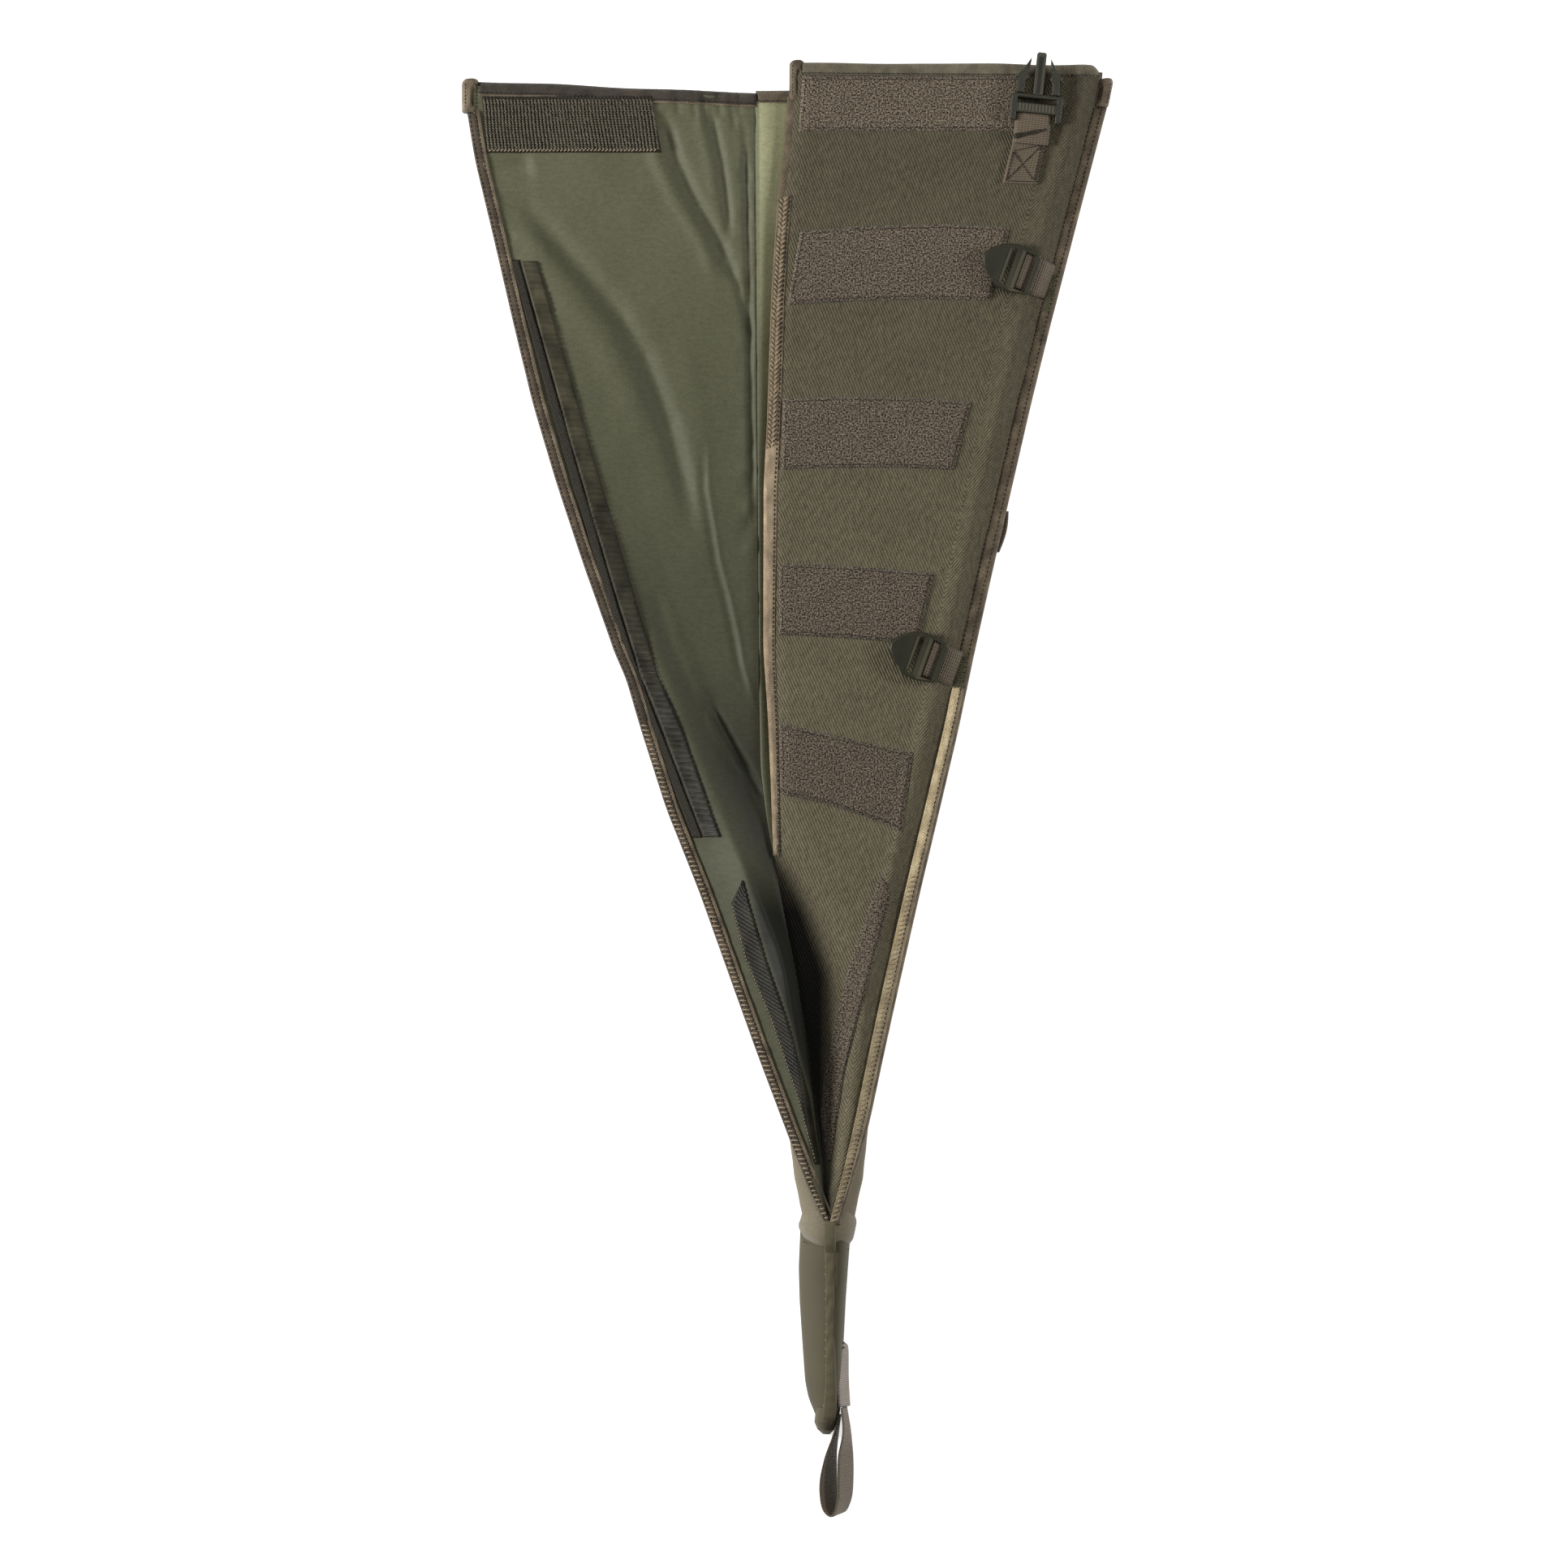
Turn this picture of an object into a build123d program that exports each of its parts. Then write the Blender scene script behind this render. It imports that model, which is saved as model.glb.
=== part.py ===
from build123d import *
import os

# Soft padded long-gun scabbard, lying open on its back.
# X across the case, Y from the muzzle end (-) to the mouth (+), Z up from the surface it lies on.
# The origin is under the middle of the whole outline.  All sizes are in millimetres.

# ---------------------------------------------------------------- driving sizes
MOUTH_Y = 461.0            # mouth edge of the back panel
FLAP_MOUTH_Y = 477.0       # mouth edge of the front panel, a little longer than the back
WING_MOUTH_Y = 466.0       # mouth edge of the closing wing
WING_END_Y = -40.0         # lower end of the part of the wing that folds
SLIT_END_Y = -47.0         # lower end of the open slit beside the front panel
THROAT_Y = -289.0          # where both bindings meet over the tube
BACK_TOP = 9.3             # upper face of the back panel where it lies flat
FOLD_Z = 13.0              # height of the wing's fold line, on the lining
WING_THICK = 8.5
WING_TILT = 0.0227         # drop of the open wing per mm away from its fold
BINDING = 8.0              # visible width of the binding tape
PANEL_THICK = 7.0
CROWN = 21.0               # top of the front panel in its upper, flat length
WEBBING = 25.0             # width of every webbing
WEB_THICK = 1.8
SKIN = 0.13                # share of the thickness that the cover takes, and the lining too
GAP = 0.3                  # clearance between pieces that touch in cloth
PATCH_THICK = 1.5
PATCH_LIFT = 0.8           # room under a patch for the cover's swell
SLEEVE_END_Y = -424.0

# Outlines in plan, as (y, x).  Straight runs join the points.
WING_EDGE = [(466, -216.5), (359, -195.5), (251, -170), (143, -136), (35, -98), (-73, -59.5),
             (-181, -20.5), (-235, 1), (-289, 20)]
FOLD_LINE = [(470, -22.1), (-289, -16.5)]
FREE_EDGE = [(480, 1), (380, -7), (240, -14), (90, -16), (-80, -9)]
SEAM_LINE = [(480, 209.8), (-73, 77.5), (-127, 65.5), (-181, 53), (-235, 40), (-289, 26)]
VALLEY = [(-30, -13), (-47, -10), (-90, -2), (-127, 5), (-181, 14), (-235, 20.5), (-270, 24)]
CREST = [(-43, -34), (-73, -21), (-116, -1), (-181, 9), (-240, 17)]

# Heights along the case, as (y, z).
SEAM_Z = [(480, 11.8), (-73, 16.2), (-127, 22), (-181, 28.5), (-235, 35), (-289, 39.5)]
VALLEY_Z = [(-30, 13), (-47, 13.2), (-90, 14.5), (-127, 17), (-181, 22.5), (-235, 30), (-270, 36)]
CREST_Z = [(-43, 22), (-73, 29), (-127, 36), (-181, 38.5), (-240, 40.5)]
WING_EDGE_Z = [(-43, 8.5), (-73, 14), (-127, 23), (-181, 30), (-235, 36), (-289, 41)]
CROWN_LEFT_Z = [(-30, 20), (-90, 19.5), (-127, 21), (-181, 26.5), (-235, 33), (-270, 37.5)]
CROWN_RIGHT_Z = [(-30, 21), (-90, 23), (-127, 27), (-181, 33), (-235, 38), (-270, 40)]


def along(profile, y):
    """Value of a profile at y, straight between its points and level beyond its ends."""
    points = sorted(profile)
    y = min(max(y, points[0][0]), points[-1][0])
    for (y0, v0), (y1, v1) in zip(points, points[1:]):
        if y <= y1:
            return v0 + (v1 - v0) * (y - y0) / (y1 - y0)


def mix(a, b, share):
    """Points part of the way from list a to list b."""
    return [(p[0] + (q[0] - p[0]) * share, p[1] + (q[1] - p[1]) * share) for p, q in zip(a, b)]


def ruled(stations):
    """Solid through cross-sections, each given as (y, [(x, z), ...]), with flat triangles between them."""
    rings = [[Vector(x, y, z) for x, z in outline] for y, outline in stations]
    return skin(rings)


def skin(rings):
    """Closed solid through rings of points."""
    faces = [Face(Wire.make_polygon(rings[0])), Face(Wire.make_polygon(rings[-1]))]
    count = len(rings[0])
    for near, far in zip(rings, rings[1:]):
        for i in range(count):
            pair = sorted([i, (i + 1) % count], key=lambda k: (near[k].X, near[k].Z))
            first, second = pair
            faces.append(Face(Wire.make_polygon([near[first], near[second], far[second]])))
            faces.append(Face(Wire.make_polygon([near[first], far[second], far[first]])))
    solid = Solid(Shell(faces))
    return solid if solid.volume > 0 else -solid


def layered(ys, outer, inner, start, end):
    """The layer between two shares of the thickness, from the outer skin to the inner one."""
    stations = []
    for y in ys:
        near = mix(outer(y), inner(y), start)
        far = mix(outer(y), inner(y), end)
        stations.append((y, near + far[::-1]))
    return ruled(stations)


def prism(outline, low, high):
    """Plate with a straight-sided outline in plan, given as (x, y)."""
    face = Face(Wire.make_polygon([Vector(x, y, low) for x, y in outline]))
    return extrude(face, amount=high - low, dir=(0, 0, 1))


parts = {}

# ---------------------------------------------------------------- back panel and tube
BOOT_TOP_Y = -225.0
BACK_STATIONS = [MOUTH_Y - BINDING, -73, -127, -181, BOOT_TOP_Y + GAP, BOOT_TOP_Y, -235, THROAT_Y + 1]


def back_outer(y):
    fold = along(FOLD_LINE, y)
    seam = along(SEAM_LINE, y)
    seam_z = along(SEAM_Z, y)
    left_top = (along([(470, 0.5), (-73, 0.7), (-127, 16.4), (-181, 26.5), (-235, 34.6), (-289, 38)], y),
                along([(470, BACK_TOP), (-73, BACK_TOP), (-127, 15), (-181, 20), (-235, 28), (-289, 35.5)], y))
    left_low = (along([(470, 0.5), (-73, 0.4), (-127, 3.7), (-181, 12.3), (-235, 17.3), (-289, 24.5)], y),
                along([(470, 4), (-73, 4), (-127, 8), (-181, 10), (-235, 16), (-289, 22)], y))
    floor_left = along([(470, 4), (-73, 4), (-127, 9.7), (-181, 19.3), (-235, 25.9), (-289, 33.5)], y)
    floor_right = along([(470, -12), (-73, -9), (-127, -5.5), (-181, -3), (-235, 3), (-289, 11)], y)
    right_low = (along([(470, -2), (-73, 1), (-127, 8.5), (-181, 11), (-235, 12), (-289, 20)], y),
                 along([(470, 2.5), (-73, 4), (-127, 8), (-181, 11), (-235, 15), (-289, 20)], y))
    right_top = (along([(-235, 1.5), (-289, 3)], y), seam_z - 7.2)
    return [(fold + left_top[0], left_top[1]), (fold + left_low[0], left_low[1]), (fold + floor_left, 0),
            (seam + floor_right, 0), (seam + right_low[0], right_low[1]), (seam + right_top[0], right_top[1])]


def back_inner(y):
    fold = along(FOLD_LINE, y)
    seam = along(SEAM_LINE, y)
    seam_z = along(SEAM_Z, y)
    depth = along([(470, BACK_TOP), (-73, BACK_TOP), (-127, 7.5), (-289, 6)], y)
    left_top = (along([(470, 4), (-73, 4), (-127, 20), (-181, 29.5), (-235, 37), (-289, 40)], y),
                along([(470, BACK_TOP), (-73, BACK_TOP), (-127, 14), (-181, 18), (-235, 25), (-289, 32)], y))
    left_low = (along([(470, 8), (-73, 8.4), (-127, 13.7), (-181, 21.3), (-235, 25), (-289, 30)], y),
                along([(470, BACK_TOP), (-73, BACK_TOP), (-127, 10), (-181, 12), (-235, 16), (-289, 22)], y))
    floor_left = along([(470, 14), (-73, 14.4), (-127, 17.7), (-181, 26.3), (-235, 32), (-289, 36.5)], y)
    floor_right = along([(470, -20), (-73, -16), (-127, -13.5), (-181, -10), (-235, -3), (-289, 8)], y)
    right_low = (along([(470, -12), (-73, -8), (-127, -1), (-181, 3), (-235, 6), (-289, 14.5)], y),
                 along([(470, BACK_TOP), (-73, BACK_TOP), (-127, 10), (-181, 12), (-235, 16), (-289, 20)], y))
    right_top = (-along([(-235, 4), (-289, 0.5)], y), seam_z - along([(470, 5), (-73, 6.4), (-289, 8.2)], y))
    return [(fold + left_top[0], left_top[1]), (fold + left_low[0], left_low[1]), (fold + floor_left, depth),
            (seam + floor_right, depth), (seam + right_low[0], right_low[1]), (seam + right_top[0], right_top[1])]


parts["back_outer_cover"] = layered(BACK_STATIONS[:5], back_outer, back_inner, 0, SKIN)
parts["lower_boot"] = layered(BACK_STATIONS[5:], back_outer, back_inner, 0, SKIN)
parts["back_foam"] = layered(BACK_STATIONS, back_outer, back_inner, SKIN, 1 - SKIN)
parts["back_lining"] = layered(BACK_STATIONS, back_outer, back_inner, 1 - SKIN, 1)

mouth = MOUTH_Y - BINDING
parts["back_top_binding"] = ruled([
    (mouth + GAP, back_outer(mouth) + back_inner(mouth)[::-1]),
    (MOUTH_Y, mix(back_outer(MOUTH_Y), back_inner(MOUTH_Y), 0.3)
     + mix(back_outer(MOUTH_Y), back_inner(MOUTH_Y), 0.7)[::-1])])

# Sewn ridge along the fold, where the back panel and the wing are stitched together.
parts["fold_seam"] = ruled([
    (y, [(along(FOLD_LINE, y) + 0.2, BACK_TOP + GAP), (along(FOLD_LINE, y) + 2, BACK_TOP + GAP),
         (along(FOLD_LINE, y) + 1.2, FOLD_Z), (along(FOLD_LINE, y) + 0.2, FOLD_Z)])
    for y in (MOUTH_Y - 2, WING_END_Y)])

# Binding folded over the right seam.
SEAM_TOP_Y = 448.0


def seam_tape(y):
    x = along(SEAM_LINE, y) + 0.5
    z = along(SEAM_Z, y)
    return [(x, z - 6.6), (x, z + 0.2), (x + 4.5, z + 1.4), (x + BINDING, z - 0.8), (x + BINDING, z - 4.6),
            (x + 5, z - 6.6)]


parts["right_seam_binding"] = ruled([(y, seam_tape(y))
                                     for y in (SEAM_TOP_Y, -73, -127, -181, -235, THROAT_Y + 1)])
parts["right_seam_end_tab"] = ruled([(y, seam_tape(y)) for y in (SEAM_TOP_Y + GAP, 467)])

# ---------------------------------------------------------------- front panel
CUT_DIRECTION = Vector(SEAM_LINE[0][1] - SEAM_LINE[1][1], SEAM_LINE[0][0] - SEAM_LINE[1][0],
                       SEAM_Z[0][1] - SEAM_Z[1][1]).normalized()
CUT_POINT = Vector(along(FREE_EDGE, SLIT_END_Y), SLIT_END_Y, CROWN)
FRONT_SHARES = [0, 0.14, 0.86, 0.95, 1]


def front_frame(y):
    """Left limit, right limit and the heights of the front panel's upper skin."""
    right = along(SEAM_LINE, y)
    seam_z = along(SEAM_Z, y)
    left = along(FREE_EDGE, y) + BINDING + GAP
    return left, right, [14.4, CROWN, CROWN, CROWN - 3.2, seam_z]


def front_top(y):
    left, right, heights = front_frame(y)
    return [(left + (right - left) * s, z) for s, z in zip(FRONT_SHARES, heights)]


def front_under(y):
    thick = [3.4, PANEL_THICK, PANEL_THICK, 5.5, 4]
    return [(x, z - t) for (x, z), t in zip(front_top(y), thick)]


def lower_top(y):
    left = along(VALLEY, y)
    right = along(SEAM_LINE, y)
    heights = [along(VALLEY_Z, y), along(CROWN_LEFT_Z, y), along(CROWN_RIGHT_Z, y),
               along(CROWN_RIGHT_Z, y) - 1, along(SEAM_Z, y)]
    return [(left + (right - left) * s, z) for s, z in zip(FRONT_SHARES, heights)]


def lower_under(y):
    thick = [3.2, 5.5, 5.5, 5, 4]
    return [(x, z - t) for (x, z), t in zip(lower_top(y), thick)]


def keep_side(solid, upper):
    """The part of a front panel layer above or below the end of the slit."""
    shift = GAP if upper else -GAP
    plane = Plane(origin=CUT_POINT + CUT_DIRECTION * shift, z_dir=CUT_DIRECTION)
    return split(solid, bisect_by=plane, keep=Keep.TOP if upper else Keep.BOTTOM)


FLAP_STATIONS = [FLAP_MOUTH_Y - BINDING, 380, 240, 90, -73]
LOWER_STATIONS = [-40, -73, -90, -127, -181, -235, -268]
for name, start, end in (("outer_cover", 0, SKIN), ("foam", SKIN, 1 - SKIN), ("lining", 1 - SKIN, 1)):
    flap = layered(FLAP_STATIONS, front_top, front_under, start, end)
    parts["front_panel_" + name] = keep_side(flap, True)
    lower = layered(LOWER_STATIONS, lower_top, lower_under, start, end)
    parts["tube_front_" + name] = keep_side(lower, False)

flap_mouth = FLAP_MOUTH_Y - BINDING
parts["front_top_binding"] = ruled([
    (flap_mouth + GAP, front_top(flap_mouth) + front_under(flap_mouth)[::-1]),
    (FLAP_MOUTH_Y, mix(front_top(flap_mouth), front_under(flap_mouth), 0.25)
     + mix(front_top(flap_mouth), front_under(flap_mouth), 0.75)[::-1])])


def free_tape(y):
    x = along(FREE_EDGE, y)
    return [(x, 10.6), (x, 12.8), (x + 1.5, 13.6), (x + BINDING, 14.6), (x + BINDING, 10.4), (x + 1.5, 10)]


CORNER_LOW_Y = 454.0
FREE_TAPE_STATIONS = (CORNER_LOW_Y, 380, 240, 90, SLIT_END_Y)
parts["front_free_edge_binding"] = ruled([(y, free_tape(y)) for y in FREE_TAPE_STATIONS])
parts["front_corner_tab"] = Pos(-0.5, 0, 0) * ruled([(y, free_tape(y)) for y in (CORNER_LOW_Y + GAP, 480)])


def height_at(profile, x):
    """Height of a skin profile at x."""
    return along([(px, pz) for px, pz in profile], x)


def patch(y_top_left, y_top_right, y_low_left, y_low_right, x_left, x_right):
    """Loop patch laid on the front panel, between two slanted ends."""
    def cut(y_left, y_right):
        left, right, _ = front_frame((y_left + y_right) / 2)
        bends = [left + (right - left) * share for share in FRONT_SHARES[1:3]]
        xs = [x_left] + [min(max(x, x_left + 1), x_right - 1) for x in bends] + [x_right]
        points = []
        for x in xs:
            y = y_left + (y_right - y_left) * (x - x_left) / (x_right - x_left)
            points.append(Vector(x, y, height_at(front_top(y), x) + PATCH_LIFT))
        return points + [p + Vector(0, 0, PATCH_THICK) for p in points[::-1]]
    return skin([cut(y_top_left, y_top_right), cut(y_low_left, y_low_right)])


PATCHES = [(467, 467, 432, 432, 10.5, 156), (367, 367, 319, 319, 4, 140), (257, 257, 208, 208, 0, 116),
           (146, 140, 98, 92, -3, 91), (39, 19, -9, -30, -1, 76)]
for number, (top_left, top_right, low_left, low_right, left, right) in enumerate(PATCHES, 1):
    parts[f"loop_patch_{number}"] = patch(top_left, top_right, low_left, low_right, left, right)


def strip_outline(y, width):
    """Cross-section of the lower loop strip, which follows the tube's front panel."""
    middle = along([(-60, 60), (-99, 55), (-166, 39), (-245, 26)], y)
    xs = [middle - width / 2, middle + width / 2]
    points = [(x, height_at(lower_top(y), x) + PATCH_LIFT + 0.6) for x in xs]
    return points + [(x, z + PATCH_THICK) for x, z in points[::-1]]


parts["loop_strip_lower"] = ruled([(-72, strip_outline(-72, 6)), (-90, strip_outline(-90, 13)),
                                   (-127, strip_outline(-127, 13)), (-181, strip_outline(-181, 12)),
                                   (-235, strip_outline(-235, 7))])

# ---------------------------------------------------------------- closing wing
WING_STATIONS = [WING_MOUTH_Y - BINDING, 359, 251, 143, 35, WING_END_Y]


def wing_z(x, y):
    return FOLD_Z - (along(FOLD_LINE, y) - x) * WING_TILT


def wing_top(y):
    fold = along(FOLD_LINE, y)
    edge = along(WING_EDGE, y) + BINDING + GAP
    return [(edge, wing_z(edge, y) - 1.2), (edge + 8, wing_z(edge, y)), (fold - 3, wing_z(fold - 3, y)),
            (fold - 0.2, FOLD_Z - 0.3)]


def wing_under(y):
    thick = [5.5, WING_THICK, WING_THICK, 7]
    return [(x, z - t) for (x, z), t in zip(wing_top(y), thick)]


parts["wing_lining"] = layered(WING_STATIONS, wing_top, wing_under, 0, SKIN)
parts["wing_foam"] = layered(WING_STATIONS, wing_top, wing_under, SKIN, 1 - SKIN)
parts["wing_outer_cover"] = layered(WING_STATIONS, wing_top, wing_under, 1 - SKIN, 1)
wing_mouth = WING_MOUTH_Y - BINDING
parts["wing_top_binding"] = ruled([
    (wing_mouth + GAP, wing_top(wing_mouth) + wing_under(wing_mouth)[::-1]),
    (WING_MOUTH_Y, mix(wing_top(wing_mouth), wing_under(wing_mouth), 0.2)
     + mix(wing_top(wing_mouth), wing_under(wing_mouth), 0.8)[::-1])])


def wing_tape(y):
    x = along(WING_EDGE, y)
    z = wing_z(x, y)
    return [(x, z - 5.6), (x, z - 2.4), (x + 2, z - 0.9), (x + BINDING, z - 0.9), (x + BINDING, z - 6.8),
            (x + 2, z - 6.8)]


TAB_LOW_Y = 446.0
parts["wing_edge_binding"] = ruled([(y, wing_tape(y)) for y in (TAB_LOW_Y, 359, 251, 143, 35, WING_END_Y)])
parts["wing_corner_tab"] = ruled([(y, wing_tape(y)) for y in (TAB_LOW_Y + GAP, 468)])


def tape(ends, name):
    """Flat hook tape lying on the wing's lining, between cross-sections (y, left, right)."""
    stations = []
    for y, left, right in ends:
        low = [wing_z(left, y) + GAP, wing_z(right, y) + GAP]
        stations.append((y, [(left, low[0]), (right, low[1]), (right, low[1] + PATCH_THICK),
                             (left, low[0] + PATCH_THICK)]))
    parts[name] = ruled(stations)


tape([(456, -201, -84), (419, -198, -82)], "hook_tape_top")
tape([(348, -183, -165), (251, -158, -139), (143, -124, -105), (35, -86, -67), (-37, -63, -45)],
     "hook_tape_long")

# ---------------------------------------------------------------- lower lip of the wing, fixed to the tube
LIP_STATIONS = [-43, -73, -127, -181, -235]


def lip_top(y):
    edge = along(WING_EDGE, y) + along([(-43, BINDING), (-235, 5)], y) + GAP
    return [(edge, along(WING_EDGE_Z, y) + 2), (along(CREST, y), along(CREST_Z, y)),
            (along(VALLEY, y) - 1.2, along(VALLEY_Z, y) + 0.6)]


def lip_under(y):
    edge = along(WING_EDGE, y) + along([(-43, BINDING), (-235, 5)], y) + GAP
    return [(edge, along(WING_EDGE_Z, y) - 3.5), (along(CREST, y) - 4.5, along(CREST_Z, y) - 8),
            (along(VALLEY, y) - 5.5, along(VALLEY_Z, y) - 1)]


parts["lip_lining"] = layered(LIP_STATIONS, lip_top, lip_under, 0, SKIN)
parts["lip_foam"] = layered(LIP_STATIONS, lip_top, lip_under, SKIN, 1 - SKIN)
parts["lip_outer_cover"] = layered(LIP_STATIONS, lip_top, lip_under, 1 - SKIN, 1)


def lip_tape(y):
    x = along(WING_EDGE, y)
    z = along(WING_EDGE_Z, y)
    width = along([(-43, BINDING), (-235, 5), (-289, 4)], y)
    return [(x, z - 3), (x, z + 0.6), (x + 1.5, z + 2), (x + width, z + 2), (x + width, z - 4),
            (x + 1.5, z - 4)]


parts["lip_edge_binding"] = ruled([(y, lip_tape(y)) for y in (-43, -73, -127, -181, -235, THROAT_Y + 1)])


def lip_hook(y, width):
    """Cross-section of the lower hook tape on the lip."""
    middle = along([(-66, -32), (-105, -22), (-181, -1), (-235, 12)], y)
    (x0, z0), (x1, z1) = lip_top(y)[:2]
    rise = (z1 - z0) / (x1 - x0)
    left, right = middle - width / 2, middle + width / 2
    low = [z0 + rise * (left - x0) + GAP + 0.4, z0 + rise * (right - x0) + GAP + 0.4]
    return [(left, low[0]), (right, low[1]), (right, low[1] + PATCH_THICK), (left, low[0] + PATCH_THICK)]


parts["hook_tape_lower"] = ruled([(-68, lip_hook(-68, 4)), (-82, lip_hook(-82, 9)), (-127, lip_hook(-127, 9)),
                                  (-181, lip_hook(-181, 8)), (-230, lip_hook(-230, 4))])

# ---------------------------------------------------------------- boot, sleeve and muzzle loop


def oval(y, x_left, x_right, height, lift=0.0):
    """Oval cross-section standing on the surface."""
    plane = Plane(origin=((x_left + x_right) / 2, y, height / 2 + lift), x_dir=(1, 0, 0), z_dir=(0, -1, 0))
    return plane * Ellipse((x_right - x_left) / 2, height / 2)


def tube(outer, inner):
    return loft(outer, ruled=True) - loft(inner, ruled=True)


BOOT_LOW_Y = -303.0
parts["boot_hem"] = tube(
    [oval(THROAT_Y - GAP, 7.5, 46.5, 41.5), oval(BOOT_LOW_Y, 8.5, 42.5, 38.5)],
    [oval(THROAT_Y - GAP + 0.1, 11.5, 42.5, 33.5, 4), oval(BOOT_LOW_Y - 0.1, 12.5, 38.5, 30.5, 4)])
parts["muzzle_sleeve"] = tube(
    [oval(BOOT_LOW_Y - GAP, 7.5, 41.5, 37.5), oval(-341, 7, 38.5, 33), oval(-395, 10, 36.5, 29),
     oval(SLEEVE_END_Y, 15, 34.5, 24)],
    [oval(BOOT_LOW_Y - GAP + 0.1, 10, 39, 32.5, 2.5), oval(-341, 9.5, 36, 28, 2.5),
     oval(-395, 12.5, 34, 24, 2.5), oval(SLEEVE_END_Y - 0.1, 17.5, 32, 19, 2.5)])
parts["muzzle_end_cap"] = loft([oval(SLEEVE_END_Y - GAP, 15.5, 34, 23.5), oval(-429, 17, 32.5, 21, 1),
                                oval(-432.5, 20, 29, 14, 4)], ruled=True)


def strip_on_sleeve(y, left, right, height):
    return (y, [(left, height), (right, height), (right, height + 1.6), (left, height + 1.6)])


parts["sleeve_front_binding"] = ruled([
    strip_on_sleeve(-290, 23.5, 31.5, 41.8), strip_on_sleeve(-303, 24, 32, 38.8),
    strip_on_sleeve(-341, 24, 32, 33.3), strip_on_sleeve(-395, 22, 30, 29.2),
    strip_on_sleeve(-423, 20, 28, 24.3)])

# Webbing on the right flank of the sleeve, and the loop that goes on from it.
LOOP_ROOT_Y = -415.0
LOOP_HEIGHT = 22.0         # the webbing stands on one edge
LOOP_LEAN = 0.3
parts["muzzle_loop_anchor"] = ruled([
    (-372, [(38.2, 3.5), (40, 3.5), (40, 26), (38.2, 26)]),
    (-395, [(37.2, 3.5), (39, 3.5), (39, 26), (37.2, 26)]),
    (LOOP_ROOT_Y, [(37.2, 3.5), (39, 3.5), (39, 26), (37.2, 26)])])


def loop_band():
    """Closed teardrop of webbing on its edge, leaning to the left at the top."""
    path = FilletPolyline(
        (40.2, LOOP_ROOT_Y - GAP), (43.5, -445), (45, -474), (34.5, -488.5), (22.5, -478), (25, -455),
        (33.5, -437), radius=7)
    face = trace(path, line_width=WEB_THICK).face()
    return Pos(0, 0, 0.8) * extrude(face, amount=LOOP_HEIGHT, dir=(-LOOP_LEAN, 0, 1))


parts["muzzle_loop"] = loop_band()

# ---------------------------------------------------------------- side-release buckle, male half
BUCKLE_X = 163.5
BUCKLE_LEAN = -6.0          # degrees, towards the seam
STRAP_TURN_Y = 424.0
BUCKLE_Z = 26.6             # middle plane of the buckle
BUCKLE_PLACE = Pos(BUCKLE_X, 438, BUCKLE_Z) * Rot(Z=BUCKLE_LEAN)
FRAME_WIDTH = 34.0
FRAME_LENGTH = 18.5
FRAME_THICK = 5.6


def buckle_frame():
    outer = Pos(0, FRAME_LENGTH / 2) * RectangleRounded(FRAME_WIDTH, FRAME_LENGTH, 2.4)
    slot = Pos(0, FRAME_LENGTH - 4.4) * RectangleRounded(WEBBING + 1, 2.8, 0.9)
    rear = Pos(0, 2.6) * Rectangle(WEBBING + 1, 5.6)
    body = extrude(outer - slot - rear, amount=FRAME_THICK / 2, both=True)
    body = fillet(body.edges().filter_by(Plane.XY), 0.9)
    ribs = [Pos(x, 9.3, 2.6) * Box(1.1, 4.6, 1.0) for x in [2.2 * i for i in range(-5, 6)]]
    guide = extrude(Pos(0, FRAME_LENGTH + 13.4) * RectangleRounded(6.4, 29, 1.6), amount=2.4, both=True)
    groove = Pos(0, FRAME_LENGTH + 12.5, 2.2) * Box(2.4, 24, 1.6)
    return body + ribs + guide - groove - mirror(groove, about=Plane.XY)


def prong(side):
    """Spring arm with a hooked tip; side is -1 for the left arm."""
    with BuildSketch() as arm:
        with BuildLine():
            a = Line((side * 9.4, 0.3), (side * 9.2, 5.5))
            b = Spline(a @ 1, (side * 7.2, 10.2), (side * 8.3, 15.2), (side * 6.4, 24.2),
                       tangents=[(0, 1), (0, 1)])
            c = Polyline(b @ 1, (side * 11.5, 15.5), (side * 14.8, 12.6), (side * 15.4, 9.6),
                         (side * 13.9, 9.8))
            d = Polyline(c @ 1, (side * 14.1, 4.2), (side * 14.4, 0.3), a @ 0)
        make_face()
    solid = extrude(arm.sketch, amount=2.5, both=True)
    return Pos(0, FRAME_LENGTH + 0.1) * fillet(solid.edges().filter_by(Plane.XY), 0.7)


parts["buckle_frame"] = BUCKLE_PLACE * buckle_frame()
parts["buckle_prong_left"] = BUCKLE_PLACE * prong(-1)
parts["buckle_prong_right"] = BUCKLE_PLACE * prong(1)

# Webbing from the box-stitched tab up to the buckle's bar.
parts["buckle_strap"] = BUCKLE_PLACE * Rot(Z=-BUCKLE_LEAN) * ruled([
    (-13.7, [(-13, -4.8), (12, -4.8), (12, -2.8), (-13, -2.8)]),
    (-4, [(-12.3, -2.6), (12.3, -2.6), (12.3, 0.4), (-12.3, 0.4)]),
    (3.6, [(-12.3, -1.8), (12.3, -1.8), (12.3, 1.6), (-12.3, 1.6)])])
parts["buckle_strap_tab"] = prism([(150.5, STRAP_TURN_Y - 0.2), (175.5, STRAP_TURN_Y - 0.2), (166, 395.5),
                                   (141, 395.5)], CROWN + GAP, CROWN + GAP + 2)

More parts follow.
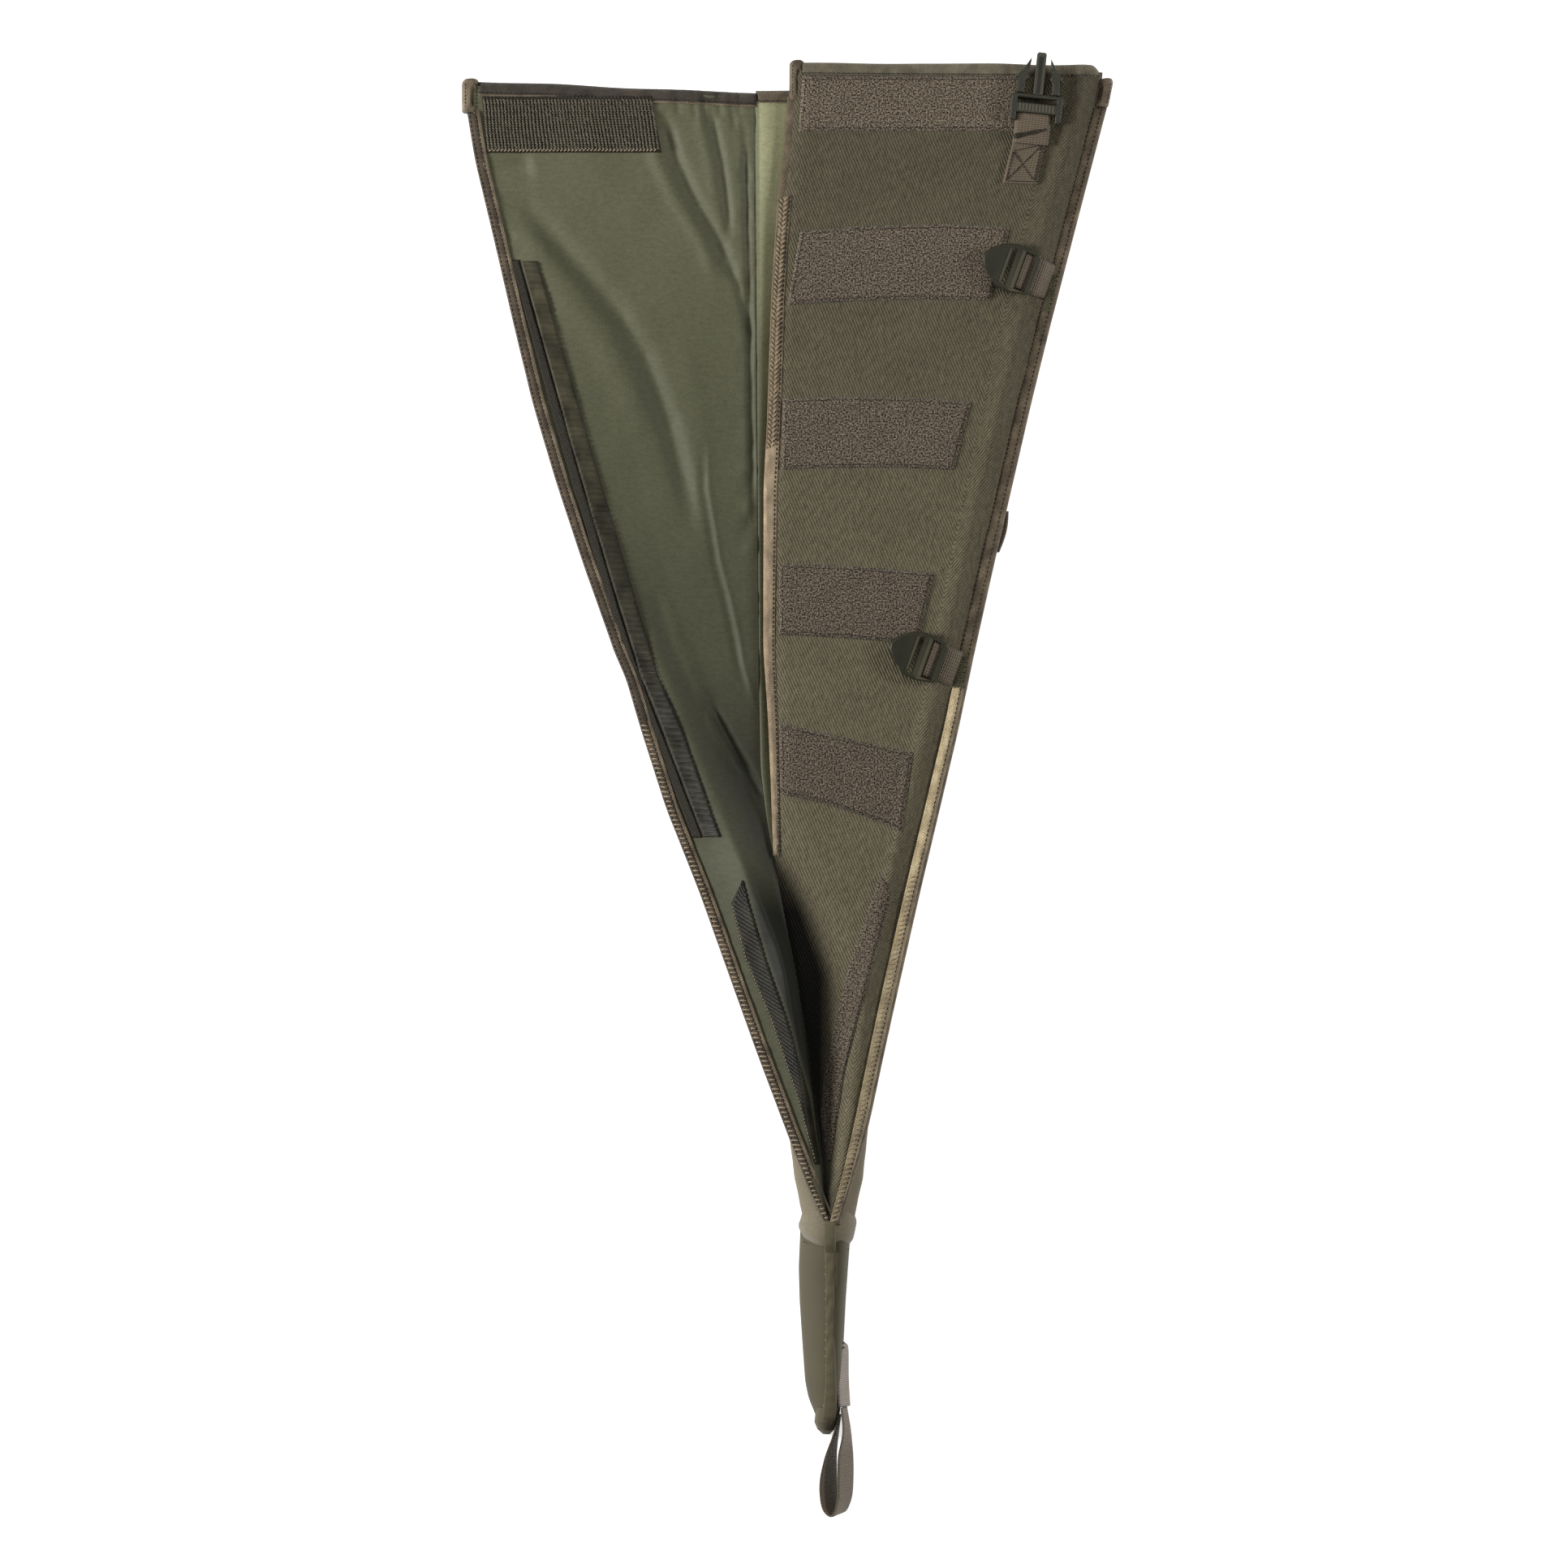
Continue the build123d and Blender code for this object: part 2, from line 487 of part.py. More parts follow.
# ---------------------------------------------------------------- ladder locks
LOCK_TURN = 160.0           # direction of the tab away from the seam, in degrees
LOCK_LONG = 37.0
LOCK_WIDE = 32.0
LOCK_START = 9.5            # distance of the lock's end bar from the seam
LOCK_TILT = 7.0
LOCK_Z = 24.7


def lock_body():
    """Ladder lock, flat, from its end bar at x = 0 to the thumb plate."""
    with BuildSketch() as outline:
        with BuildLine():
            low = Line((1.5, -LOCK_WIDE / 2 + 2.2), (12, -LOCK_WIDE / 2))
            tip = Spline(low @ 1, (25, -13.6), (LOCK_LONG, 0), (25, 13.6), (12, LOCK_WIDE / 2),
                         tangents=[(1, -0.05), (-1, -0.05)])
            high = Line(tip @ 1, (1.5, LOCK_WIDE / 2 - 2.2))
            Polyline(high @ 1, (0, LOCK_WIDE / 2 - 4), (0, -LOCK_WIDE / 2 + 4), low @ 0)
        make_face()
    body = extrude(outline.sketch, amount=1.7, both=True)
    body = fillet(body.edges().filter_by(Plane.XY), 1.2)
    wide = Pos(7.2, 0) * Box(7.4, WEBBING + 1.2, 8)
    narrow = Pos(18.6, 0) * Box(2.6, WEBBING + 0.6, 8)
    grip = Pos(21.4, 0, 1.9) * Box(1.2, WEBBING - 2, 1.0)
    rim = Pos(12.6, 0, 1.7) * Box(2.2, WEBBING + 1, 1.2)
    return body - wide - narrow + grip + rim


def lock_place(y):
    seam = along(SEAM_LINE, y)
    return Pos(seam - 2, y, 0) * Rot(Z=LOCK_TURN)


def lock_tab(seam_z):
    """Webbing doubled over the bar; it climbs over the panel's rounded edge."""
    path = [(1.2, seam_z + 3.6), (6, 20.4), (13, 21.1), (17.2, 23.3)]
    top = [(x, z + WEB_THICK) for x, z in path]
    wire = Wire.make_polygon([Vector(x, -WEBBING / 2, z) for x, z in path + top[::-1]])
    return extrude(Face(wire), amount=WEBBING, dir=(0, 1, 0))


LOCKS = {"upper": 333.0, "lower": 76.0}
for name, y in LOCKS.items():
    parts[f"lock_tab_{name}"] = lock_place(y) * lock_tab(along(SEAM_Z, y))
    parts[f"ladder_lock_{name}"] = (lock_place(y) * Pos(LOCK_START, 0, LOCK_Z) * Rot(Y=-LOCK_TILT)
                                    * lock_body())

# Strap under the back, whose fold stands out past the right seam.
parts["back_strap_fold"] = ruled([
    (y, [(along(SEAM_LINE, y) + 1, 0), (along(SEAM_LINE, y) + 9.5, 0), (along(SEAM_LINE, y) + 12.5, 2.2),
         (along(SEAM_LINE, y) + 9.5, 4.4), (along(SEAM_LINE, y) + 8, 4.4), (along(SEAM_LINE, y) + 9, 1.6),
         (along(SEAM_LINE, y) + 1, 1.6)])
    for y in (180, 155)])

# ---------------------------------------------------------------- output
os.makedirs("parts", exist_ok=True)
whole = None
for name, shape in parts.items():
    export_step(shape, f"parts/{name}.step")
    box = shape.bounding_box()
    low = [box.min.X, box.min.Y, box.min.Z]
    high = [box.max.X, box.max.Y, box.max.Z]
    whole = (low, high) if whole is None else ([min(a, b) for a, b in zip(whole[0], low)],
                                               [max(a, b) for a, b in zip(whole[1], high)])
print("whole box", [round(v, 1) for v in whole[0]], [round(v, 1) for v in whole[1]])
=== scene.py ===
import math

import bmesh
import bpy
import numpy as np
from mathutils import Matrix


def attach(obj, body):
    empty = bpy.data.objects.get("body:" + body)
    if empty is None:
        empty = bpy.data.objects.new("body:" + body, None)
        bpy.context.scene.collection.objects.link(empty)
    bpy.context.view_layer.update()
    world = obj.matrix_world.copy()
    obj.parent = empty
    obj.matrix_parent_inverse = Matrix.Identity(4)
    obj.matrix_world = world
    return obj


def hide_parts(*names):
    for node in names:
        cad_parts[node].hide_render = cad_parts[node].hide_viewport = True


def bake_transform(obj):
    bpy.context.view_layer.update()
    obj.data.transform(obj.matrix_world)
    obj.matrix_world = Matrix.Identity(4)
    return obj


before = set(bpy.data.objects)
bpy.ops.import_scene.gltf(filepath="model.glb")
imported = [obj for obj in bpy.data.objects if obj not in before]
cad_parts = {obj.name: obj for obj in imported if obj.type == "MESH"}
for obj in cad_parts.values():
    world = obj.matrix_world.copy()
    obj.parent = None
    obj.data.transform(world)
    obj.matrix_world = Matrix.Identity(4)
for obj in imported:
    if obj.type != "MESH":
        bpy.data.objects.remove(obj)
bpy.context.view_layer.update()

MM = 0.001

# Plan and height profiles of the scabbard, in millimetres, as (y, value).  EDGE is the wing's outer edge,
# LIMIT its fold and the left foot inside the tube, FREE the front panel's free edge, RIGHT the right seam.
# BIND_F and BIND_R are the widths of their bindings.  CREST is the ridge of the wing's lower lip and CROWN_L
# and CROWN_R are the top of the tube.  LOW_L and LOW_R are the sides of the lower hook tape.
EDGE = [(468, -217), (415, -208.4), (361, -195.5), (307, -183), (253, -170), (199, -153.9), (145, -136),
        (96, -118.5), (84, -114.6), (73, -108.8), (60, -105), (37, -98.3), (-17, -81), (-71, -59.4),
        (-125, -40), (-179, -20.5), (-230, -1.2), (-258, 9.5), (-283, 20), (-293, 26)]
LIMIT = [(470, -22.1), (60, -19.1), (10, -18.2), (-25, -14), (-47, -10), (-90, -2), (-127, 5), (-181, 14),
         (-235, 20.5), (-275, 25), (-293, 28)]
FREE = [(480, 1), (454, 0), (413, -3.2), (386, -7), (321, -11.3), (240, -14), (197, -16.3), (89, -16.5),
        (46, -13.5), (0, -11.5), (-53, -9.7)]
BIND_F = [(480, 9), (240, 7.5), (89, 8), (46, 5), (-47, 4.3)]
RIGHT = [(468, 216), (459, 214.5), (413, 202.5), (359, 188.5), (305, 174.5), (251, 161.2), (197, 148.8),
         (143, 136.3), (89, 124.3), (35, 113), (-19, 100.3), (-73, 87.5), (-127, 75.2), (-181, 63.2),
         (-224, 54), (-262, 43.5), (-293, 33.5)]
BIND_R = [(468, 9), (-127, 10.6), (-224, 10), (-293, 7)]
CREST = [(220, -134), (160, -114), (122, -101.5), (81, -85), (41, -69), (0, -52), (-43, -34), (-73, -21),
         (-116, -1), (-181, 9), (-240, 17), (-293, 26)]
CREST_Z = [(220, 10.2), (160, 11.6), (122, 13.4), (81, 16.4), (41, 18.6), (0, 20.6), (-43, 25), (-73, 30),
           (-127, 36), (-181, 38.5), (-240, 40.3), (-293, 41)]
LIMIT_Z = [(60, 12), (0, 11), (-30, 10), (-47, 9.4), (-90, 8.4), (-127, 9.4), (-181, 14), (-235, 23),
           (-270, 33), (-293, 39.5)]
EDGE_Z = [(-43, 10.6), (-73, 15), (-127, 24), (-181, 31.5), (-235, 37.5), (-293, 41.5)]
SEAM_Z = [(480, 11.8), (-73, 16.2), (-127, 22), (-181, 28.5), (-235, 35), (-293, 40)]
CROWN_L = [(-30, 20.5), (-60, 20), (-90, 20), (-127, 21), (-181, 26.5), (-235, 33), (-293, 39.5)]
CROWN_R = [(-30, 21), (-90, 23), (-127, 27), (-181, 33), (-235, 38), (-293, 41)]
LOW_L = [(-64, -30.5), (-79.7, -37.8), (-116, -28.6), (-155, -12), (-208, 6.2), (-252, 18)]
LOW_R = [(-64, -30), (-70, -28.3), (-116, -14.6), (-155, -1), (-208, 14.5), (-252, 21.5)]
BACK_TOP = 9.3             # upper face of the back panel where it lies flat
FOLD_Z = 13.0              # height of the wing's fold
TILT = 0.0227              # drop of the open wing per mm away from its fold
CROWN = 21.0               # top of the front panel in its flat length
LOW_Y = -292.0             # lower end of the panels, inside the boot
FREE_TAPE_TOP = 16.6       # highest point of the tape on the front panel's free edge
WING_SLOPE = 0.0422        # fall of the wing's mouth edge per mm towards the fold
FRONT_SLOPE = 0.008        # fall of the front panel's mouth edge per mm towards the seam
PAD_RIM = 4.0              # radius of a pad's rim
STITCH_LIFT = 0.15         # height of a stitch above the line that it follows


def at(profile, y):
    """Value of a profile at y, straight between its points and level beyond its ends."""
    points = sorted(profile)
    return np.interp(y, [p[0] for p in points], [p[1] for p in points])


def soft(profile, y, reach=14.0):
    """Value of a profile at y with its corners rounded."""
    y = np.asarray(y, float)
    return sum(at(profile, y + d) for d in np.linspace(-reach, reach, 7)) / 7


def near(profile, y, reach=14.0):
    """The same for a single y, as a plain number."""
    return float(soft(profile, y, reach))


def past(value, start, reach):
    """0 up to a start, rising to 1 over that reach."""
    return np.clip((value - start) / reach, 0, 1)


def wobble(x, y, size, seed):
    """Smooth irregular waves between about -1 and 1."""
    draw = np.random.default_rng(seed)
    total = 0
    for _ in range(7):
        angle = draw.uniform(0, math.pi * 2)
        k = 2 * math.pi / (size * draw.uniform(0.7, 1.6))
        total = total + np.sin(k * (np.cos(angle) * x + np.sin(angle) * y) + draw.uniform(0, 6.28))
    return total / 3.5


def path_distance(x, y, points):
    """Distance to a polyline and the share of its length at the nearest point."""
    best = np.full(np.shape(x), 1e9)
    share = np.zeros(np.shape(x))
    points = np.array(points, float)
    lengths = np.hypot(*(points[1:] - points[:-1]).T)
    done = 0.0
    for (x0, y0), (x1, y1), length in zip(points, points[1:], lengths):
        t = np.clip(((x - x0) * (x1 - x0) + (y - y0) * (y1 - y0)) / length ** 2, 0, 1)
        gap = np.hypot(x - x0 - t * (x1 - x0), y - y0 - t * (y1 - y0))
        nearer = gap < best
        best = np.where(nearer, gap, best)
        share = np.where(nearer, (done + t * length) / lengths.sum(), share)
        done += length
    return best, share


def crease(x, y, points, depth, width, sharp=False, taper=0.15):
    """Groove (negative depth) or ridge along a polyline, fading at its ends."""
    gap, share = path_distance(x, y, points)
    fade = np.clip(np.minimum(share, 1 - share) / taper, 0, 1)
    shape = np.exp(-gap / width) if sharp else np.exp(-(gap / width) ** 2)
    return depth * shape * fade


def blur(field, passes, axis):
    """Field smoothed along one axis, with its border rows kept."""
    inner = [slice(None)] * 2
    inner[axis] = slice(1, -1)
    for _ in range(passes):
        mixed = (np.roll(field, 1, axis) + 2 * field + np.roll(field, -1, axis)) / 4
        field = field.copy()
        field[tuple(inner)] = mixed[tuple(inner)]
    return field


class Heights:
    """Height field on a 1 mm grid."""

    def __init__(self, rule, low_x, high_x, low_y, high_y, soften):
        self.xs = np.arange(low_x, high_x + 1.0)
        self.ys = np.arange(low_y, high_y + 1.0)
        grid = np.array([rule(y, self.xs) for y in self.ys])
        grid = blur(grid, soften, 1)
        self.grid = blur(grid, soften, 0)

    def add(self, change):
        x, y = np.meshgrid(self.xs, self.ys)
        self.grid = self.grid + change(x, y)

    def __call__(self, x, y):
        fx = np.clip(np.asarray(x, float) - self.xs[0], 0, len(self.xs) - 1.001)
        fy = np.clip(np.asarray(y, float) - self.ys[0], 0, len(self.ys) - 1.001)
        i, j = fx.astype(int), fy.astype(int)
        u, v = fx - i, fy - j
        g = self.grid
        return ((g[j, i] * (1 - u) + g[j, i + 1] * u) * (1 - v)
                + (g[j + 1, i] * (1 - u) + g[j + 1, i + 1] * u) * v)


# ---------------------------------------------------------------- looks
def rgb(red, green, blue, bright=1.0):
    """Linear colour from screen values."""
    return [((c / 255 + 0.055) / 1.055) ** 2.4 * bright for c in (red, green, blue)]


class Look:
    """A procedural material on the UV map, whose units are metres."""

    def __init__(self, name, rough, specular=0.35, sheen=0.0):
        self.material = bpy.data.materials.new(name)
        self.material.use_nodes = True
        self.nodes = self.material.node_tree.nodes
        self.links = self.material.node_tree.links
        self.shader = self.nodes["Principled BSDF"]
        self.shader.inputs["Roughness"].default_value = rough
        self.shader.inputs["Specular IOR Level"].default_value = specular
        self.shader.inputs["Sheen Weight"].default_value = sheen
        self.shader.inputs["Sheen Roughness"].default_value = 0.5
        self.uv = self.make("UVMap").outputs["UV"]

    def make(self, kind, **settings):
        node = self.nodes.new("ShaderNode" + kind)
        for key, value in settings.items():
            setattr(node, key, value)
        return node

    def put(self, socket, value):
        if isinstance(value, bpy.types.NodeSocket):
            self.links.new(value, socket)
        else:
            socket.default_value = value

    def sums(self, operation, a, b=0.0, c=0.0):
        node = self.make("Math", operation=operation)
        for socket, value in zip(node.inputs, (a, b, c)):
            self.put(socket, value)
        return node.outputs[0]

    def turned(self, degrees, stretch=(1, 1, 1), source=None):
        node = self.make("Mapping")
        self.put(node.inputs["Vector"], source or self.uv)
        node.inputs["Rotation"].default_value = (0, 0, math.radians(degrees))
        node.inputs["Scale"].default_value = stretch
        return node.outputs[0]

    def noise(self, size, detail=2.0, source=None):
        """Noise with features of that size in mm."""
        node = self.make("TexNoise")
        self.put(node.inputs["Vector"], source or self.uv)
        node.inputs["Scale"].default_value = 1000 / size
        node.inputs["Detail"].default_value = detail
        return node.outputs["Fac"]

    def wave(self, period, source=None, bend=0.0, bend_size=4.0):
        """Sine bands across the first UV direction, with that period in mm."""
        node = self.make("TexWave")
        self.put(node.inputs["Vector"], source or self.uv)
        node.inputs["Scale"].default_value = 1000 * math.pi / (10 * period)
        node.inputs["Distortion"].default_value = bend
        node.inputs["Detail"].default_value = 1.0
        node.inputs["Detail Scale"].default_value = period / bend_size
        return node.outputs["Fac"]

    def cells(self, size, source=None):
        node = self.make("TexVoronoi")
        self.put(node.inputs["Vector"], source or self.uv)
        node.inputs["Scale"].default_value = 1000 / size
        return node.outputs["Distance"]

    def blendof(self, *terms):
        """Weighted sum of (value, weight), each value centred on 0.5, plus 1."""
        total = 1.0 - sum(weight for _, weight in terms) * 0.5
        for value, weight in terms:
            total = self.sums("MULTIPLY_ADD", value, weight, total)
        return total

    def colour(self, first, second, share, factor):
        mix = self.make("Mix", data_type="RGBA")
        self.put(mix.inputs["Factor"], share)
        self.put(mix.inputs[6], (*first, 1))
        self.put(mix.inputs[7], (*second, 1))
        scale = self.make("VectorMath", operation="SCALE")
        self.put(scale.inputs[0], mix.outputs[2])
        self.put(scale.inputs["Scale"], factor)
        self.put(self.shader.inputs["Base Color"], scale.outputs[0])

    def along(self, *stops, direction="Y"):
        """Value that follows one UV direction, through (mm, value) stops from low to high."""
        split = self.make("SeparateXYZ")
        self.put(split.inputs[0], self.uv)
        total = stops[0][1]
        for (y0, v0), (y1, v1) in zip(stops, stops[1:]):
            part = self.make("MapRange", interpolation_type="SMOOTHSTEP")
            self.put(part.inputs["Value"], split.outputs[direction])
            for key, value in (("From Min", y0 * MM), ("From Max", y1 * MM), ("To Min", 0.0),
                               ("To Max", v1 - v0)):
                part.inputs[key].default_value = value
            total = self.sums("ADD", part.outputs[0], total)
        return total

    def with_painted_shade(self, factor):
        """The factor, darkened by the painted shade that the mesh carries at each point, as deep inside the
        tube.
        """
        painted_shade = self.make("Attribute")
        painted_shade.attribute_name = "painted_shade"
        return self.sums("MULTIPLY", factor, self.sums("MULTIPLY_ADD", painted_shade.outputs["Fac"], -0.96, 1.0))

    def relief(self, height, depth, strength=1.0):
        """Bump of that depth in mm."""
        node = self.make("Bump")
        self.put(node.inputs["Height"], height)
        node.inputs["Distance"].default_value = depth * MM
        node.inputs["Strength"].default_value = strength
        self.put(self.shader.inputs["Normal"], node.outputs[0])

    def gloss(self, value, low, high):
        """Roughness that follows a value from 0 to 1."""
        self.put(self.shader.inputs["Roughness"], self.sums("MULTIPLY_ADD", value, high - low, low))


def twill_look():
    look = Look("twill_weave", 0.82, 0.22, sheen=0.06)
    line = look.wave(1.7, look.turned(-32), bend=1.0, bend_size=5)
    thread = look.wave(0.75, look.turned(58), bend=0.8, bend_size=3)
    grain = look.noise(0.9)
    slub = look.noise(2.4, 3, look.turned(-32, (1, 0.45, 1)))
    broad = look.noise(38, 3)
    height = look.sums("MULTIPLY_ADD", thread, 0.3, line)
    # Darker towards the mouth.
    tone_shift = look.along((-60, 0.97), (150, 0.9), (300, 0.78), (470, 0.66))
    shade = look.blendof((line, 0.62), (thread, 0.26), (grain, 1.2), (slub, 1.15), (broad, 0.5))
    # The colour also darkens by the painted shade that a mesh may carry at each point.
    look.colour(rgb(98, 90, 70), rgb(90, 84, 66), broad, look.with_painted_shade(look.sums("MULTIPLY", shade, tone_shift)))
    look.relief(look.sums("MULTIPLY_ADD", grain, 0.8, height), 0.42)
    return look.material


def lining_look(name, bright, shade_by_length_only):
    look = Look(name, 0.56, 0.2, sheen=0.04)
    weft = look.wave(0.6, look.turned(88), bend=2, bend_size=6)
    grain = look.noise(0.8, 2, look.turned(0, (0.6, 1, 1)))
    fleck = look.noise(2.4, 2, look.turned(0, (0.55, 1, 1)))
    broad = look.noise(60, 2)
    shade = look.blendof((grain, 0.6), (weft, 0.1), (fleck, 0.5), (broad, 0.2))
    if shade_by_length_only:
        # Painted shade: the lining gets darker from the mouth down to the start of the lower lip, and a
        # little lighter below it.
        fade = look.along((-240, 0.72), (-60, 0.66), (20, 0.55), (90, 0.6), (230, 0.8), (400, 1.0))
    else:
        # Painted shade: the back lining darker down the case, and a painted shadow along its edge at the
        # fold.
        down = look.along((60, 0.36), (200, 0.44), (270, 0.6), (340, 0.95), (430, 1.32))
        fade = look.sums("MULTIPLY", down, look.along((-20.8, 0.4), (-17.8, 1.0), direction="X"))
    # Any painted shade that the mesh carries at each point darkens it further.
    shade = look.with_painted_shade(look.sums("MULTIPLY", shade, fade))
    look.colour(rgb(98, 97, 73, bright), rgb(88, 89, 68, bright), broad, shade)
    look.relief(look.sums("ADD", grain, look.sums("MULTIPLY", weft, 0.3)), 0.09)
    look.gloss(grain, 0.48, 0.66)
    return look.material


def pile_look():
    look = Look("loop_pile", 0.95, 0.12, sheen=0.12)
    fluff = look.noise(1.05, 3)
    tuft = look.cells(1.05)
    fine = look.noise(0.7, 2)
    broad = look.noise(16, 2)
    fade = look.along((-250, 0.74), (20, 0.86), (300, 0.95), (450, 1.08))
    shade = look.sums("MULTIPLY", fade, look.blendof((fine, 0.9), (tuft, -0.45), (broad, 0.2)))
    look.colour(rgb(32, 27, 21), rgb(128, 115, 99), look.sums("MULTIPLY_ADD", fluff, 4.4, -1.75), shade)
    look.relief(look.sums("SUBTRACT", look.sums("MULTIPLY", fluff, 1.4), tuft), 0.5)
    return look.material


def hook_look(name, first, second, across):
    look = Look(name, 0.6, 0.14)
    rows = look.wave(2.3 if across else 1.1, look.turned(0), bend=0.8, bend_size=4)
    knots = look.wave(1.2, look.turned(64), bend=1.0, bend_size=4)
    fine = look.noise(0.6)
    broad = look.noise(22)
    height = look.sums("MULTIPLY", look.sums("ADD", rows, knots), 0.5)
    look.colour(first, second, height, look.blendof((fine, 0.5), (broad, 0.25), (height, 0.4)))
    look.relief(look.sums("MULTIPLY_ADD", fine, 0.4, height), 0.4)
    look.gloss(broad, 0.34, 0.6)
    return look.material


def rib_look():
    """Raised, shiny cross threads of the side hook tape."""
    look = Look("hook_ribs", 0.42, 0.32)
    strand = look.wave(0.5, look.turned(88), bend=1.0, bend_size=4)
    fine = look.noise(0.5, 2, look.turned(0, (0.3, 1, 1)))
    broad = look.noise(15, 2)
    # Painted shade: darker towards the narrow end, lighter near the mouth.
    fade = look.along((-60, 0.62), (120, 0.9), (300, 1.7))
    look.colour(rgb(24, 23, 16), rgb(58, 55, 40), look.sums("MULTIPLY_ADD", broad, 2.4, -0.7),
                look.with_painted_shade(look.sums("MULTIPLY", fade, look.blendof((fine, 0.7), (strand, 0.3)))))
    look.relief(strand, 0.12)
    look.gloss(broad, 0.3, 0.5)
    return look.material


def tape_look(name, first, second, shine=0.7, fade=None):
    """Binding tape: fine slanted ribs with lighter, rubbed patches."""
    look = Look(name, shine, 0.28, sheen=0.06)
    rib = look.wave(1.25, look.turned(52), bend=1.6, bend_size=3)
    cross = look.wave(1.0, look.turned(-40), bend=1.6, bend_size=3)
    fine = look.noise(0.8, 3)
    broad = look.noise(13, 3)
    height = look.sums("MULTIPLY_ADD", cross, 0.6, rib)
    shade = look.blendof((fine, 0.85), (rib, 0.3), (broad, 0.25))
    if fade:
        shade = look.sums("MULTIPLY", shade, look.along(*fade))
    look.colour(first, second, look.sums("MULTIPLY_ADD", broad, 2.6, -0.8), shade)
    look.relief(look.sums("MULTIPLY_ADD", fine, 1.1, height), 0.34)
    return look.material


def webbing_look(name, first, second):
    look = Look(name, 0.62, 0.35, sheen=0.06)
    rib = look.wave(1.45, look.turned(0), bend=0.5, bend_size=5)
    knot = look.wave(2.1, look.turned(90), bend=0.6, bend_size=5)
    fine = look.noise(0.6)
    broad = look.noise(14)
    height = look.sums("MULTIPLY_ADD", knot, 0.35, rib)
    look.colour(first, second, look.sums("MULTIPLY_ADD", rib, 0.55, 0.2),
                look.blendof((fine, 0.5), (knot, 0.14), (broad, 0.3)))
    look.relief(look.sums("MULTIPLY_ADD", fine, 0.3, height), 0.42)
    return look.material


def suede_look():
    look = Look("brushed_suede", 0.92, 0.15, sheen=0.2)
    nap = look.noise(0.9, 4)
    broad = look.noise(11, 3)
    look.colour(rgb(118, 110, 91), rgb(98, 91, 75), broad, look.blendof((nap, 1.1), (broad, 0.5)))
    look.relief(nap, 0.4)
    return look.material


def sleeve_look(name, bright):
    look = Look(name, 0.68, 0.17, sheen=0.05)
    fine = look.noise(0.55, 2)
    broad = look.noise(24, 3)
    shade = look.blendof((fine, 0.3), (broad, 0.16))
    look.colour(rgb(84, 78, 60, bright), rgb(76, 71, 54, bright), broad, shade)
    look.relief(fine, 0.05)
    return look.material


def plastic_look():
    look = Look("olive_plastic", 0.38, 0.3)
    position = look.make("TexCoord").outputs["Object"]
    fine = look.noise(0.35, 2, position)
    broad = look.noise(9, 3, position)
    # Sharp edges get the lighter colour: edge wear, and a painted highlight on the bars.
    edge = look.make("NewGeometry").outputs["Pointiness"]
    tone_shift = look.sums("MULTIPLY_ADD", edge, 9.0, -4.55)
    clamp = look.sums("MINIMUM", look.sums("MAXIMUM", tone_shift, 0.0), 1.0)
    look.colour(rgb(33, 32, 20), rgb(72, 69, 52), clamp, look.blendof((fine, 0.14), (broad, 0.18)))
    look.relief(look.sums("MULTIPLY_ADD", broad, 1.5, fine), 0.04)
    look.gloss(broad, 0.31, 0.45)
    return look.material


def thread_look(name, colour):
    look = Look(name, 0.6, 0.35)
    twist = look.wave(0.5, look.turned(35))
    look.colour([c * 0.75 for c in colour], colour, twist, look.blendof((look.noise(6), 0.4)))
    look.relief(twist, 0.12)
    return look.material


TWILL = twill_look()
LINING = lining_look("lining_satin", 0.78, True)
# The back lining is the same satin painted much brighter: a painted highlight on the strip beside the fold,
# with painted shade below it.
LINING_BACK_PAINTED_LIGHT = lining_look("lining_back_painted_light", 2.0, False)
PILE = pile_look()
HOOK_TOP = hook_look("hook_base", rgb(28, 26, 20), rgb(54, 50, 42), True)
HOOK_NUB = hook_look("hook_threads", rgb(80, 75, 63), rgb(128, 121, 104), False)
HOOK_LONG = hook_look("hook_mesh", rgb(20, 18, 14), rgb(56, 52, 42), False)
HOOK_RIB = rib_look()
TAPE_TAN = tape_look("binding_tan", rgb(124, 106, 84), rgb(166, 148, 121))
TAPE_FREE = tape_look("binding_free", rgb(120, 103, 81), rgb(160, 142, 115),
                      fade=((-50, 0.4), (60, 0.5), (170, 0.74), (260, 0.95)))
TAPE_EDGE = tape_look("binding_edge", rgb(54, 45, 34), rgb(88, 76, 60))
TAPE_BROWN = tape_look("binding_brown", rgb(74, 63, 49), rgb(118, 104, 83))
TAPE_DARK = tape_look("binding_dark", rgb(44, 38, 31), rgb(66, 58, 48))
TAPE_TOP = tape_look("binding_top", rgb(80, 73, 58), rgb(110, 101, 82), 0.6)
# Gold braided tape on the left half of the seam roll, painted lighter still as a painted highlight where the
# roll faces the light.
TAPE_GOLD_PAINTED_LIGHT = tape_look("binding_gold_painted_light", rgb(170, 151, 116), rgb(222, 203, 162),
                      fade=((60, 0.95), (160, 0.76), (250, 0.5), (372, 0.34)))
TAPE_SEAM = tape_look("binding_seam", rgb(112, 99, 79), rgb(156, 140, 114))
WEB = webbing_look("webbing_ribs", rgb(66, 57, 45), rgb(122, 108, 89))
WEB_GREY = webbing_look("webbing_grey", rgb(108, 98, 88), rgb(158, 147, 135))
SUEDE = suede_look()
SLEEVE = sleeve_look("sleeve_cloth", 0.82)
